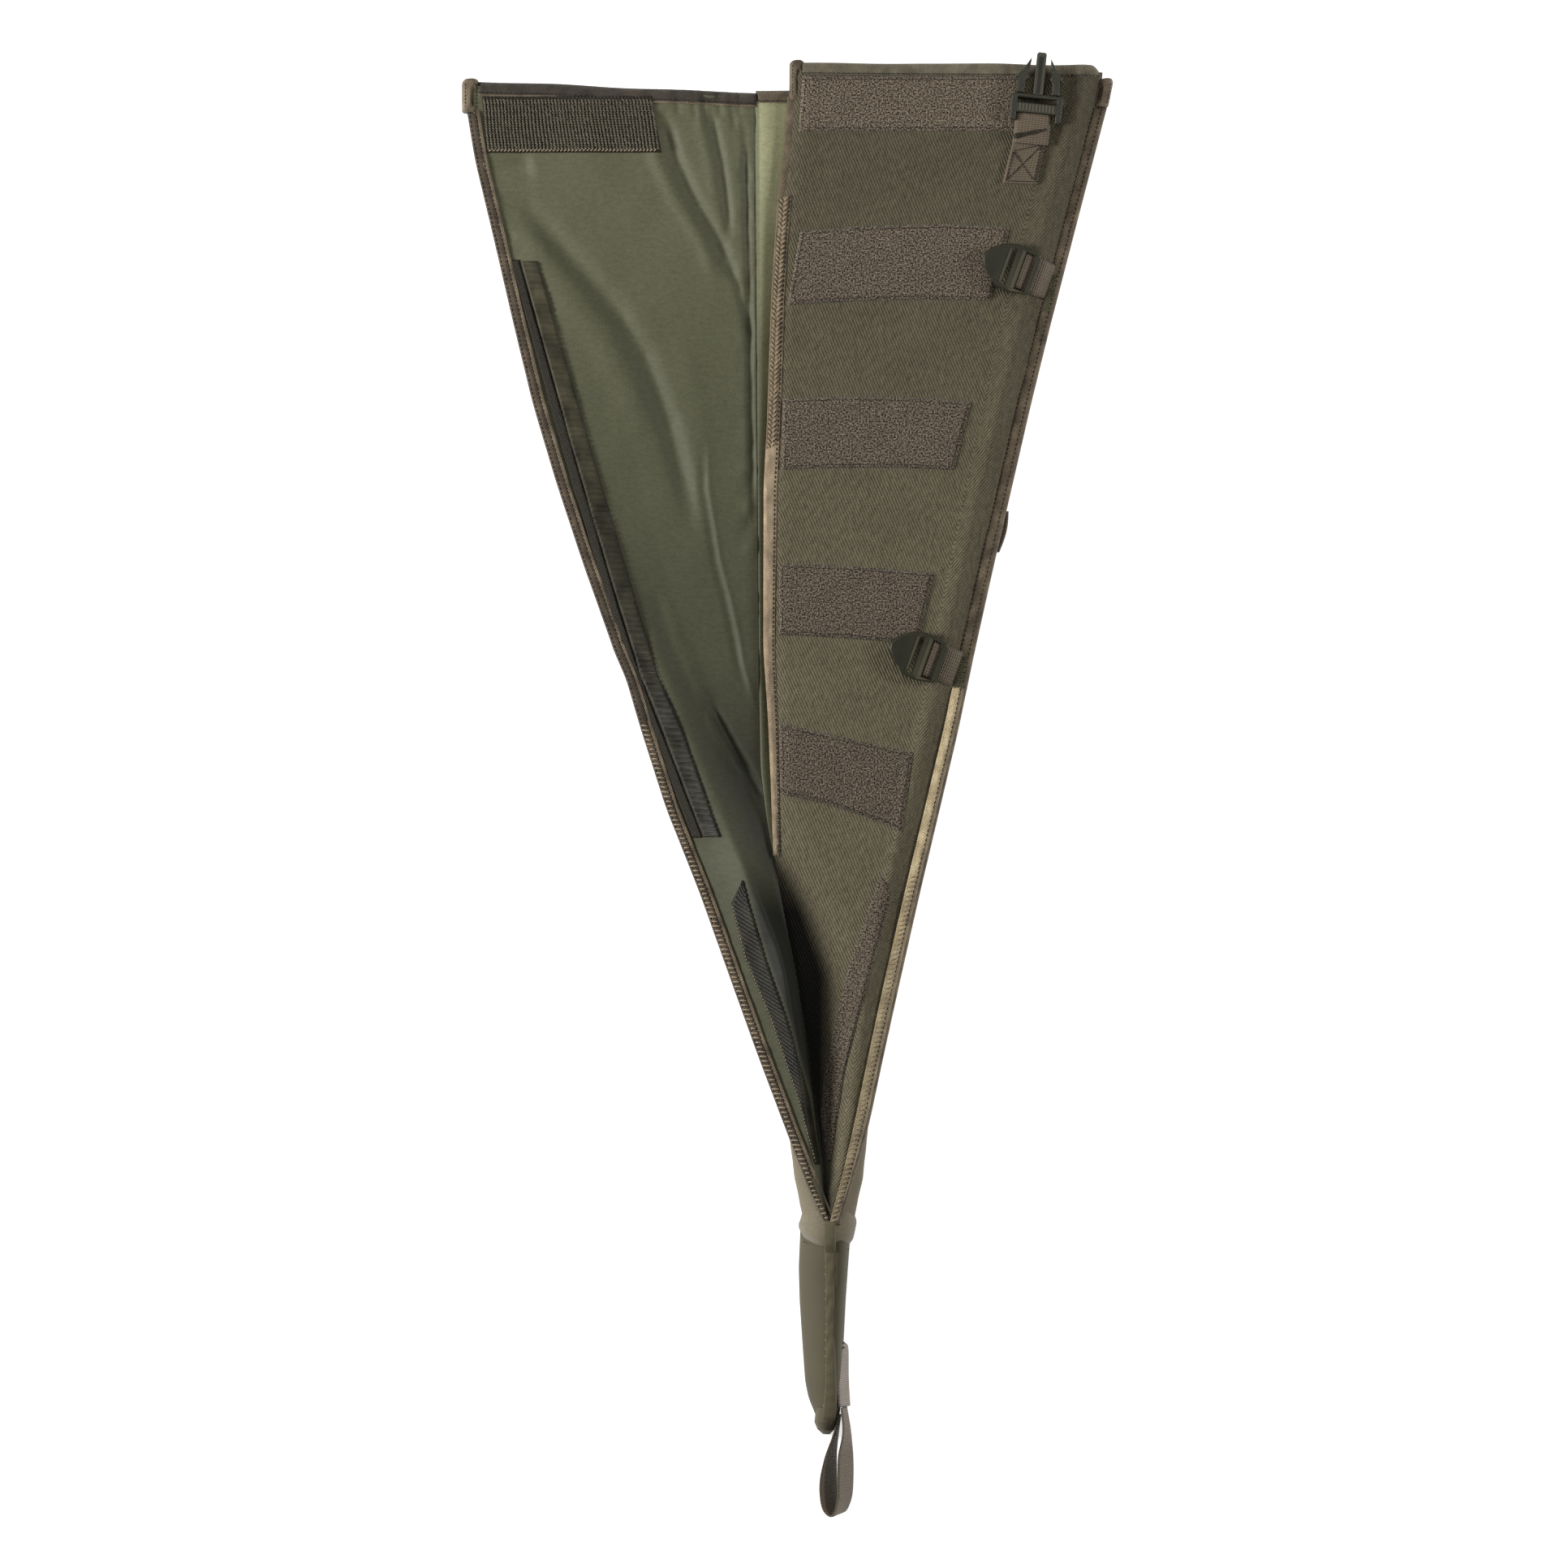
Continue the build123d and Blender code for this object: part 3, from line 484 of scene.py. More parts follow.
# Same cloth as the sleeve, painted brighter: a painted highlight on the raised fold.
SLEEVE_FOLD_PAINTED_LIGHT = sleeve_look("sleeve_fold_painted_light", 1.25)
PLASTIC = plastic_look()
THREAD_DARK = thread_look("thread_dark", rgb(40, 34, 26))
THREAD_TAN = thread_look("thread_tan", rgb(150, 134, 108))
THREAD_LACE = thread_look("thread_lace", rgb(150, 133, 106))
THREAD_GREEN = thread_look("thread_green", rgb(84, 88, 58))


# ---------------------------------------------------------------- mesh tools
def cols(*values):
    """Points from their coordinates, each one an array or one number for all of them."""
    return np.column_stack(np.broadcast_arrays(*values))


def length_along(path):
    """Distance from the start of a path to each of its points."""
    return np.concatenate([[0], np.cumsum(np.linalg.norm(np.diff(path, axis=0), axis=1))])


def make(name, points, faces, uvs, look):
    """Smooth-shaded mesh object from points in millimetres."""
    mesh = bpy.data.meshes.new(name)
    mesh.from_pydata((np.asarray(points, float) * MM).tolist(), [], faces)
    mesh.validate()
    body = bmesh.new()
    body.from_mesh(mesh)
    bmesh.ops.recalc_face_normals(body, faces=body.faces)
    body.to_mesh(mesh)
    body.free()
    corners = np.empty(len(mesh.loops), int)
    mesh.loops.foreach_get("vertex_index", corners)
    layer = mesh.uv_layers.new(name="UVMap")
    layer.data.foreach_set("uv", (np.asarray(uvs, float)[corners] * MM).ravel())
    mesh.polygons.foreach_set("use_smooth", np.ones(len(mesh.polygons), bool))
    mesh.materials.append(look)
    obj = bpy.data.objects.new(name, mesh)
    bpy.context.scene.collection.objects.link(obj)
    return obj


def painted_shade(obj, rule):
    """Give each point of a mesh a share of painted shade, from 0 to 1, by its place in millimetres."""
    points = np.empty(len(obj.data.vertices) * 3)
    obj.data.vertices.foreach_get("co", points)
    points = points.reshape(-1, 3) / MM
    layer = obj.data.attributes.new("painted_shade", "FLOAT", "POINT")
    layer.data.foreach_set("value", np.clip(rule(points[:, 0], points[:, 1]), 0, 1).astype(np.float32))


def quads(lines, columns, start=0, wrap=False, flip=False):
    """Faces of a grid of points."""
    faces = []
    for i in range(lines - 1):
        for j in range(columns if wrap else columns - 1):
            k = (j + 1) % columns
            face = (start + i * columns + j, start + i * columns + k, start + (i + 1) * columns + k,
                    start + (i + 1) * columns + j)
            faces.append(face[::-1] if flip else face)
    return faces


def shell(name, x, y, top, under, look, uv=None):
    """Closed mesh between two heights over one grid (rows down the case, columns across it)."""
    lines, columns = x.shape
    count = lines * columns
    points = np.concatenate([np.dstack(np.broadcast_arrays(x, y, z)).reshape(-1, 3) for z in (top, under)])
    uv = np.dstack([x, y]) if uv is None else uv
    faces = quads(lines, columns, flip=True) + quads(lines, columns, count)
    rim = (list(range(columns)) + [i * columns + columns - 1 for i in range(1, lines)]
           + [(lines - 1) * columns + j for j in range(columns - 2, -1, -1)]
           + [i * columns for i in range(lines - 2, 0, -1)])
    for a, b in zip(rim, rim[1:] + rim[:1]):
        faces.append((a, b, b + count, a + count))
    return make(name, points, faces, np.concatenate([uv.reshape(-1, 2)] * 2), look)


def loft(name, rings, look, uv=None):
    """Closed mesh through closed rings of points, with fans over both ends."""
    rings = np.asarray(rings, float)
    lines, columns = rings.shape[:2]
    points = rings.reshape(-1, 3)
    if uv is None:
        steps = np.linalg.norm(np.diff(rings, axis=1), axis=2)
        around = np.concatenate([np.zeros((lines, 1)), np.cumsum(steps, 1)], 1)
        uv = np.dstack([around, np.repeat(length_along(rings.mean(1))[:, None], columns, 1)])
    faces = quads(lines, columns, wrap=True)
    ends = np.array([rings[0].mean(0), rings[-1].mean(0)])
    first, last = len(points), len(points) + 1
    for j in range(columns):
        k = (j + 1) % columns
        faces.append((first, k, j))
        faces.append((last, (lines - 1) * columns + j, (lines - 1) * columns + k))
    uvs = np.concatenate([uv.reshape(-1, 2), uv[0].mean(0)[None], uv[-1].mean(0)[None]])
    return make(name, np.concatenate([points, ends]), faces, uvs, look)


def rounding(distance, radius):
    """1 away from an edge, falling to 0 on it along a quarter circle."""
    return np.sqrt(1 - (1 - np.clip(distance / radius, 0, 1)) ** 2)


def spread(count):
    """Shares from 0 to 1, closer together at both ends."""
    t = np.linspace(-1, 1, count)
    return 0.5 + 0.5 * np.sign(t) * (1 - (1 - np.abs(t)) ** 1.6)


def level(x, y):
    """No skew: rows stay at their own y."""
    return y


def pad(name, ys, left, right, top, under, look, columns, uv=None, skew=level):
    """Closed pad between two heights with rounded rims."""
    share, y = np.meshgrid(spread(columns), ys)
    low, high = left(ys)[:, None], right(ys)[:, None]
    x = low + (high - low) * share
    side = np.minimum(x - low, high - x)
    end = np.minimum(ys.max() - y, y - ys.min())
    y = skew(x, y)
    z1, z0 = top(x, y), under(x, y)
    full = 0.06 + 0.94 * rounding(side, PAD_RIM) * rounding(end, PAD_RIM)
    middle, half = (z1 + z0) / 2, (z1 - z0) / 2 * full
    return shell(name, x, y, middle + half, middle - half, look, uv and uv(x, y))


def cloth(name, ys, left, right, top, look, columns, thick=0.8, skew=level):
    """Closed thin sheet whose upper face has that height."""
    share, y = np.meshgrid(np.linspace(0, 1, columns), ys)
    low, high = left(ys)[:, None], right(ys)[:, None]
    x = low + (high - low) * share
    y = skew(x, y)
    z = top(x, y)
    return shell(name, x, y, z, z - thick, look)


def binding(name, inner, outer, middle, half, look, groove=0.68, ridge=0.0, ripple=0.22, seed=1, ends=2.0,
            depth=0.55):
    """Tape folded over an edge that runs along two plan paths."""
    half = half + 0 * middle
    a = 1 - np.linspace(1, 0, 11) ** 1.5
    run = length_along((inner + outer) / 2)
    fade = np.clip(0.15 + rounding(np.minimum(run, run[-1] - run), ends), 0, 1)
    width = np.linalg.norm(outer - inner, axis=1)
    top, low = [], []
    for share, height in zip(a, np.sqrt(1 - a ** 3.2)):
        waves = ripple * wobble(run, share * 9, 7, seed) + ripple * 0.8 * wobble(run, share * 3, 19, seed + 3)
        spot = inner + (outer - inner) * share
        dent = -depth * np.exp(-((share - (1 - groove)) / 0.07) ** 2)
        bump = ridge * np.exp(-((share - 0.3) / 0.2) ** 2)
        z = middle + (half * height + (dent + bump + waves) * min(1, height * 1.4)) * fade
        top.append(np.column_stack([spot, z]))
        low.append(np.column_stack([spot, middle - half * height * fade]))
    ring = np.array(top + low[-2::-1]).transpose(1, 0, 2)
    spots = np.concatenate([a, 2 - a[-2::-1]])
    uv = np.dstack([spots[None] * width[:, None], np.repeat(run[:, None], len(spots), 1)])
    return loft(name, ring, look, uv)


def point_at(spot, run, line):
    """Point of a line at a distance along it."""
    return np.array([np.interp(spot, run, line[:, i]) for i in range(3)])


def sideways(course):
    """Level unit vector at right angles to a course."""
    side = np.array([-course[1], course[0], 0.0])
    return side / max(np.linalg.norm(side), 1e-6)


def stitches(name, lines, look, pitch=3.3, long=2.5, thick=0.7, slant=0.0, jitter=0.12):
    """Sewn thread as short rounded strokes along polylines."""
    points, faces, uvs = [], [], []
    draw = np.random.default_rng(len(name) + len(lines))
    for line in lines:
        run = length_along(line)
        for spot in np.arange(pitch / 2, run[-1], pitch):
            centre = point_at(spot, run, line)
            course = point_at(min(spot + 1, run[-1]), run, line) - point_at(max(spot - 1, 0), run, line)
            course /= max(np.linalg.norm(course), 1e-6)
            course = course * math.cos(slant) + sideways(course) * math.sin(slant)
            side = sideways(course)
            up = np.cross(course, side)
            reach = long * (1 + jitter * draw.normal())
            start = len(points)
            for t in (-0.5, -0.36, 0.0, 0.36, 0.5):
                size = thick / 2 * math.sqrt(max(0.06, 1 - (2 * t) ** 4))
                arch = 0.5 * thick * (1 - (2 * t) ** 2)
                base = centre + course * reach * t + up * (STITCH_LIFT + arch - 0.2 * thick)
                for k in range(6):
                    angle = k * math.pi / 3
                    points.append(base + side * size * math.cos(angle) + up * size * math.sin(angle))
                    uvs.append((reach * t + spot, size * angle))
            faces += quads(5, 6, start, wrap=True, flip=True)
            faces.append(tuple(start + k for k in range(6)))
            faces.append(tuple(start + 24 + k for k in range(5, -1, -1)))
    return make(name, points, faces, uvs, look)


def strap(name, path, across, look, width=25.0, thick=1.8, columns=13):
    """Flat webbing along a path; across holds the direction of its width, once or at each point."""
    across = np.asarray(across, float) + np.zeros((len(path), 1))
    across = across / np.linalg.norm(across, axis=1)[:, None]
    course = np.gradient(path, axis=0)
    course /= np.linalg.norm(course, axis=1)[:, None]
    normal = np.cross(course, across)
    normal /= np.linalg.norm(normal, axis=1)[:, None]
    wide = (np.zeros(len(path)) + width)[:, None] / 2
    profile = [(s, math.sqrt(1 - abs(s) ** 8)) for s in np.linspace(-1, 1, columns)]
    profile += [(s, -height) for s, height in profile[-2:0:-1]]
    rings = [path + across * wide * s + normal * (thick / 2 * height) for s, height in profile]
    u, v = np.meshgrid([s * np.max(wide) for s, _ in profile], length_along(path))
    return loft(name, np.array(rings).transpose(1, 0, 2), look, np.dstack([v, u]))


def smooth_path(points, steps=8):
    """Catmull-Rom curve through points."""
    p = np.asarray(points, float)
    p = np.concatenate([2 * p[:1] - p[1:2], p, 2 * p[-1:] - p[-2:-1]])
    out = []
    for a, b, c, d in zip(p, p[1:], p[2:], p[3:]):
        for t in np.arange(steps) / steps:
            out.append(0.5 * (2 * b + (c - a) * t + (2 * a - 5 * b + 4 * c - d) * t ** 2
                              + (3 * b - a - 3 * c + d) * t ** 3))
    return np.array(out + [p[-2]])


def rows(high, low, step):
    """Even values from high to low, about one step apart."""
    return np.linspace(high, low, int(abs(high - low) / step) + 1)


# ---------------------------------------------------------------- surfaces
def wing_rule(y, xs):
    """Height across the wing's lining at one y."""
    edge = near(EDGE, y) + 7
    fold = near(LIMIT, y, 8)
    plane = FOLD_Z - (fold - edge) * TILT
    lip = past(-y, -30, 75)
    edge_z = plane * (1 - lip) + near(EDGE_Z, y) * lip
    crest, crest_z = near(CREST, y), near(CREST_Z, y)
    limit_z = near(LIMIT_Z, y, 8)
    foot = min(crest + 26, fold - 1.5)
    foot_z = limit_z - 1.8 * past(y, -60, 60)
    rise = edge_z + (crest_z - edge_z) * 0.42
    swell = 0.9 * past(y, 0, 60)
    return np.interp(xs, [edge, (edge + crest) / 2, crest, foot, fold - 5, fold],
                     [edge_z, rise, crest_z, foot_z, limit_z + swell, limit_z])


wing = Heights(wing_rule, -225, 40, -300, 480, 7)
# Creases of the wing's lining, as (path, height, width, sharp).
WING_FOLDS = [
    ([(-193, 388), (-174, 384), (-157, 364), (-135, 339), (-113, 312), (-97, 285), (-80, 240), (-68, 195),
      (-60, 160)], -4.2, 7, False),
    ([(-186, 366), (-172, 360), (-160, 344), (-144, 322), (-124, 296), (-108, 266), (-94, 230)],
     3.0, 11, False),
    ([(-96, 440), (-86, 410), (-74, 386), (-56, 356), (-46, 330)], 1.8, 4.5, False),
    ([(-84, 448), (-74, 414), (-62, 388), (-45, 358), (-36, 334)], -4.0, 4.6, False),
    ([(-62, 454), (-53, 414), (-47.5, 384)], 1.1, 3.4, False),
    ([(-53, 454), (-44, 412), (-40, 380), (-39, 358)], -2.7, 3.2, False),
    ([(-40, 348), (-33, 330), (-28, 310), (-25, 292)], -2.2, 2.6, False),
    ([(-31, 452), (-28, 420), (-27, 372), (-26, 330), (-25, 250), (-23, 170)], -2.6, 2.2, False),
    ([(-212, 404), (-190, 406), (-168, 412)], -3.0, 9, False),
    ([(-199, 372), (-190, 364), (-180, 362)], -1.2, 2.5, False),
    ([(-196, 352), (-189, 354)], -1.0, 2.0, False),
    ([(-53, 232), (-53, 219), (-52.4, 195.6), (-48.3, 172), (-44.2, 146.4), (-38.3, 125.3), (-33, 102),
      (-29, 78.6), (-22.5, 55), (-19, 42)], 1.0, 1.4, True),
    ([(-57, 228), (-56.5, 195.6), (-52.5, 172), (-48.5, 146.4), (-42.7, 125.3), (-37.5, 102), (-33, 78.6),
      (-26.5, 55)], -1.3, 2.6, False),
    ([(-52, 54), (-42.7, 36.4), (-27.5, 10.5), (-14, -13)], -2.9, 2.6, False),
    ([(-55, 48), (-46, 30), (-31, 4)], 1.4, 2.4, False),
    ([(-70, 300), (-62, 255), (-58, 205), (-57, 150)], 1.2, 10, False),
    ([(-90, 130), (-78, 90), (-60, 52)], -1.6, 5, False),
    ([(-150, 440), (-120, 400), (-90, 372)], 1.0, 14, False)]
for points, size, width, sharp in WING_FOLDS:
    wing.add(lambda x, y: crease(x, y, points, size, width, sharp))
for x0, reach, tilt in ((-64, 16, 3), (-58, 22, 4), (-47, 15, 2), (-40, 24, 5), (-34, 13, 2), (-75, 12, 3)):
    tuck = [(x0, 460), (x0 + tilt * 0.4, 452), (x0 + tilt, 456 - reach)]
    wing.add(lambda x, y: crease(x, y, tuck, -1.4, 1.7))
wing.add(lambda x, y: 0.35 * wobble(x, y, 55, 5) + 0.12 * wobble(x, y, 14, 6))
wing.add(lambda x, y: np.clip(1 - np.abs(x + 27) / 8, 0, 1) * past(y, 110, 60) * 1.1
         * wobble(x * 0.35, y, 15, 8))


def front_rule(y, xs):
    """Height across the front panel at one y."""
    lower = float(past(-y, 8, 70))
    left = near(FREE, y, 8) + 1.0 if y > -50 else near(LIMIT, y, 6)
    right = near(RIGHT, y) - float(at(BIND_R, y)) + 1.5
    seam_z = near(SEAM_Z, y)
    left_z = 12.9 * (1 - lower) + near(LIMIT_Z, y, 8) * lower
    crown_l = CROWN * (1 - lower) + near(CROWN_L, y) * lower
    crown_r = CROWN * (1 - lower) + near(CROWN_R, y) * lower
    wide = right - left
    shoulder = min(12, wide * 0.2) * (1 - lower) + min(42, wide * 0.56) * lower
    bend = 0.72 * (1 - lower) + 0.42 * lower
    slope = min(11 + 5 * lower, wide * 0.2)
    return np.interp(xs, [left, left + shoulder * 0.45, left + shoulder, right - slope, right - slope * 0.35,
                          right],
                     [left_z, left_z + (crown_l - left_z) * bend, crown_l, crown_r,
                      seam_z + 0.5 + (crown_r - seam_z) * 0.42, seam_z + 0.9])


front = Heights(front_rule, -30, 225, -300, 485, 5)
front.add(lambda x, y: 0.5 * wobble(x * 0.4, y, 60, 21) + 0.18 * wobble(x, y, 22, 22))
front.add(lambda x, y: crease(x, y, [(40, 385), (75, 394), (120, 408), (150, 412)], -1.3, 10))
front.add(lambda x, y: crease(x, y, [(20, 400), (50, 410), (90, 424)], 0.8, 10))
front.add(lambda x, y: crease(x, y, [(60, 160), (90, 172), (110, 176)], -0.7, 9))
front.add(lambda x, y: 2.0 * np.exp(-((x - soft(RIGHT, y) + at(BIND_R, y) + 12.5) / 5.5) ** 2)
          * (1 - np.exp(-((y - 333) / 24) ** 4) - np.exp(-((y - 76) / 24) ** 4)) * past(y, -250, 60))
for y0 in (400, 290, 178, 62):
    front.add(lambda x, y: 0.8 * np.exp(-((y - y0) / 22) ** 2) * past(y, -20, 40))


def front_under(x, y):
    return front(x, y) - 2.2 - 4.6 * past(x - soft(FREE, y), 2, 12) * np.clip((y + 300) / 80, 0.35, 1)


def back_rule(y, xs):
    """Height across the back panel's lining at one y."""
    fold = near(LIMIT, y, 8)
    right = near(RIGHT, y) - 9
    seam_z = near(SEAM_Z, y)
    deep = float(at([(-47, BACK_TOP), (-127, 8), (-293, 7)], y))
    lower = float(past(-y, 40, 60))
    left_z = near(LIMIT_Z, y, 8) - 3.2 * lower
    strip = max(near(FREE, y, 8) - fold, 2.5) if y > -30 else 2.5
    side = [BACK_TOP + (seam_z - 9 - BACK_TOP) * lower, max(seam_z - 5.5, deep)]
    if lower > 0:
        return np.interp(xs, [fold, fold + 8, fold + 12, right - 14, right - 3, right],
                         [left_z, deep + 1, deep, deep] + side)
    return np.interp(xs, [fold, fold + strip * 0.22, fold + strip * 0.55, fold + strip, fold + strip + 4,
                          right - 14, right - 3, right],
                     [left_z, left_z + min(1.3, strip * 0.2), left_z + 0.3, BACK_TOP + 0.5, deep, deep,
                      *side])


back = Heights(back_rule, -40, 225, -300, 475, 3)
back.add(lambda x, y: 0.25 * wobble(x, y, 40, 31) * past(x - soft(LIMIT, y, 8), 3, 10))


def listed(obj, nodes):
    """The piece, with the CAD nodes that it stands for hidden."""
    if nodes:
        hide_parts(*nodes)
    return obj


def wing_piece(obj, slot_name, *nodes):
    """A piece on the closing wing, with its transform baked in."""
    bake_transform(obj)
    return listed(obj, nodes)


def front_piece(obj, slot_name, *nodes):
    """A piece on the lifting front panel, with its transform baked in."""
    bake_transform(obj)
    return listed(obj, nodes)


def root_piece(obj, slot_name, *nodes):
    """A piece on the back panel and tube, which don't move."""
    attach(obj, "root")
    return listed(obj, nodes)


def buckle_piece(obj, slot_name, *nodes):
    """A piece of the buckle's webbing, with its transform baked in."""
    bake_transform(obj)
    return listed(obj, nodes)


# ---------------------------------------------------------------- closing wing
def wing_skew(x, y):
    """The wing's mouth edge runs slightly down towards the fold."""
    return y - (x + 216) * WING_SLOPE * past(y, 400, 60)


def wing_left(y):
    return soft(EDGE, y) + 4.5


def wing_right(y):
    return soft(LIMIT, y, 8)


def wing_under(x, y):
    limit = soft(LIMIT, y, 8)
    deep = 7.6 - 2.4 * past(-y, -20, 60)
    return np.maximum(wing(x, y) - 0.8 - deep * np.clip((limit - x) / 9 + 0.45, 0.3, 1), 0.25)


def wing_painted_shade(x, y):
    """Painted shade beside the lower hook tape and in the hollow where the wing joins the tube."""
    tape_side = past(-y, 46, 40) * past(x - at(LOW_R, y), -1.5, 5) * 0.88
    hollow = past(-y, -85, 70) * past(x - at(CREST, y), 2, 16) * past(y, -90, 30) * 0.55
    return np.maximum(tape_side, hollow)


lining = cloth("wing_lining_cloth", rows(464, LOW_Y, 2.5), wing_left, wing_right, wing, LINING, columns=124,
               skew=wing_skew)
# Painted shade on the wing's lining.
painted_shade(lining, wing_painted_shade)
wing_piece(lining, "lining", "wing_lining", "lip_lining", "fold_seam")
body = pad("wing_pad", rows(464, LOW_Y, 3.4), wing_left, lambda y: wing_right(y) - 0.4,
           lambda x, y: wing(x, y) - 0.75, wing_under, TWILL, columns=70, skew=wing_skew)
wing_piece(body, "twill", "wing_foam", "wing_outer_cover", "lip_foam", "lip_outer_cover")

# The back cover runs on under the fold, so that less of the floor shows through when the wing closes.
cover = cloth("back_fold_cover", rows(75, -75, 3), lambda y: -36.0 + 0 * y, lambda y: -22.8 + 0 * y,
              lambda x, y: np.minimum(wing_under(x, y) - 0.5, 3.1), TWILL, columns=12, thick=0.6)
root_piece(cover, "twill")

ys = rows(447, LOW_Y + 1, 1.9)
x0 = soft(EDGE, ys, 8)
top = wing(x0 + 8.5, ys) + 0.75
half = np.minimum(4.5 - 1.5 * past(-ys, 0, 80), (top - 0.7) / 2)
wing_piece(binding("wing_edge_tape", cols(x0 + 8, ys), cols(x0, ys), top - half, half, TAPE_EDGE, groove=0.7,
                   seed=3, ripple=0.3), "binding_tan", "wing_edge_binding", "lip_edge_binding")
wing_piece(binding("wing_edge_selvedge", cols(x0 + 8.6, ys), cols(x0 + 6.2, ys), top - 0.3, 0.9, TAPE_BROWN,
                   depth=0, ripple=0.15, seed=9), "binding_tan")
seams = [cols(x0 + offset, ys, wing(x0 + 8.5, ys) + 0.55 + low) for offset, low in ((5.6, 0.12), (1.3, -0.9))]
wing_piece(stitches("wing_edge_stitches", seams, THREAD_DARK, pitch=3.0, long=2.3, thick=0.75), "binding_tan")
ys = rows(40, LOW_Y + 4, 1.9)
x = soft(EDGE, ys, 8)
wing_piece(stitches("wing_edge_whipping", [cols(x + 3.4, ys, wing(x + 8.5, ys) + 0.5)], THREAD_TAN, pitch=3.3,
                    long=4.6, thick=1.3, slant=1.15), "binding_tan")

xs = np.arange(-206, -19.5, 1.9)
line_y = 467.2 - (xs + 216) * WING_SLOPE + 0.7 * wobble(xs, 0 * xs, 70, 2)
top = wing(xs, line_y - 9) + 0.9
half = np.minimum(4.4, (top - 0.7) / 2)
wing_piece(binding("wing_mouth_tape", cols(xs, line_y - 8.2), cols(xs, line_y), top - half, half, TAPE_DARK,
                   groove=0.8, seed=5, ripple=0.35), "binding_dark", "wing_top_binding")
wing_piece(binding("wing_mouth_piping", cols(xs, line_y - 9.6), cols(xs, line_y - 8.0), top - 0.7, 0.8,
                   TAPE_BROWN, depth=0, ripple=0.12, seed=8), "binding_dark")
wing_piece(stitches("wing_mouth_stitches", [cols(xs, line_y - 7.1, top - 0.1)], THREAD_DARK), "binding_dark")


def corner_tab(name, piece, slot_name, node, box, lean=0.0, seed=4, slot=0.68):
    """Binding end folded back on itself, with a narrow open slot beside the folded edge."""
    x_low, x_high, y_low, y_high, z_low, z_high = box
    ys = rows(y_high, y_low, 0.7)
    share, y = np.meshgrid(np.linspace(0, 1, 22), ys)
    tall = y_high - y_low
    inset = 4.2 * (1 - rounding(y_high - ys, 4.2)) + 2.0 * (1 - rounding(ys - y_low, 2.0))
    shift = (ys - y_low) * lean
    x = (x_low + inset + shift)[:, None] + (x_high - x_low - 1.7 * inset)[:, None] * share
    dome = np.sqrt(np.clip(1 - np.abs(2 * share - 1) ** 3, 0.02, 1)) * np.clip(
        0.35 + rounding(np.minimum(y_high - y, y - y_low), 3), 0, 1)
    window = np.clip((y - y_low) / tall * 5 - 0.7, 0, 1) * np.clip((y_high - y) / tall * 5 - 1.1, 0, 1)
    cut = 4.5 * np.exp(-((share - slot) / 0.1) ** 4) * window
    z = z_low + (z_high - z_low) * dome - cut
    z = z + 0.3 * wobble(x, y, 5, seed) + 0.25 * wobble(x, y, 11, seed + 1)
    tab = shell(name, x, y, np.clip(z, z_low + 0.3, z_high + 0.4), z_low, TAPE_BROWN)
    piece(tab, slot_name, node)
    middle = (x_low + x_high) / 2 + shift[5:-4]
    seams = [cols(middle + 0.36 * (x_high - x_low), ys[5:-4], z_high - 1.5),
             cols(middle - 0.28 * (x_high - x_low), ys[5:-4], z_high - 0.9)]
    piece(stitches(name + "_stitches", seams, THREAD_DARK, pitch=2.4, long=1.8, thick=0.6), slot_name)


corner_tab("wing_corner_fold", wing_piece, "binding_dark", "wing_corner_tab",
           (-217.0, -205.5, 445.5, 469.0, 0.5, 10.6))


# Hook tapes on the wing.
def between(left, right, y, share):
    """Part of the way from one side line to another, both given as (y, x)."""
    return at(left, y) + (at(right, y) - at(left, y)) * share


def draped(name, left, right, ys, height, look, columns=14, lift=1.1, surface=wing):
    """Tape that lies on a surface between two side lines, given as (y, x); height adds relief."""
    share, y = np.meshgrid(np.linspace(0, 1, columns), ys)
    x0, x1 = at(left, ys)[:, None], at(right, ys)[:, None]
    x = x0 + (x1 - x0) * share
    rim = rounding(np.minimum(x - x0, x1 - x), 0.8) * rounding(np.minimum(ys[0] - y, y - ys[-1]), 0.8)
    z = surface(x, y) + 0.25 + (lift + height(share, y, x)) * rim
    return shell(name, x, y, z, np.minimum(surface(x, y) - 0.1, z - 0.2), look, np.dstack([x - x0, y]))


def on_wing(x, y, lift):
    """Points at a height above the wing's lining."""
    return cols(x, y, wing(x, y) + lift)


def on_front(x, y, lift):
    """Points at a height above the front panel."""
    return cols(x, y, front(x, y) + lift)


TOP_L = [(457, -203.5), (419, -200)]
TOP_R = [(457, -91), (419, -84)]
top_tape = draped("hook_tape_mouth", TOP_L, TOP_R, rows(457, 419, 0.9),
                  lambda s, y, x: 0.22 * np.sin(x * 2 * math.pi / 2.35) + 0.15 * wobble(x, y, 16, 3),
                  HOOK_TOP, columns=200)
wing_piece(top_tape, "hook_tape", "hook_tape_top")
line_y = rows(454.5, 421.5, 3)
nubs = []
for share in (np.arange(50) + 0.5) / 50:
    nubs.append(on_wing(between(TOP_L, TOP_R, line_y, share) + 0.5 * wobble(line_y, share * 90, 30, 7),
                        line_y, 1.45))
wing_piece(stitches("hook_tape_mouth_hooks", nubs, HOOK_NUB, pitch=1.7, long=2.1, thick=1.0, slant=0.7,
                    jitter=0.2), "hook_tape")
x = np.arange(-199, -85, 2.0)
wing_piece(stitches("hook_tape_mouth_stitches", [on_wing(x, 420.6 + 0 * x, 1.4)], THREAD_TAN, pitch=2.5,
                    long=2.3, thick=1.0, slant=0.6), "hook_tape")

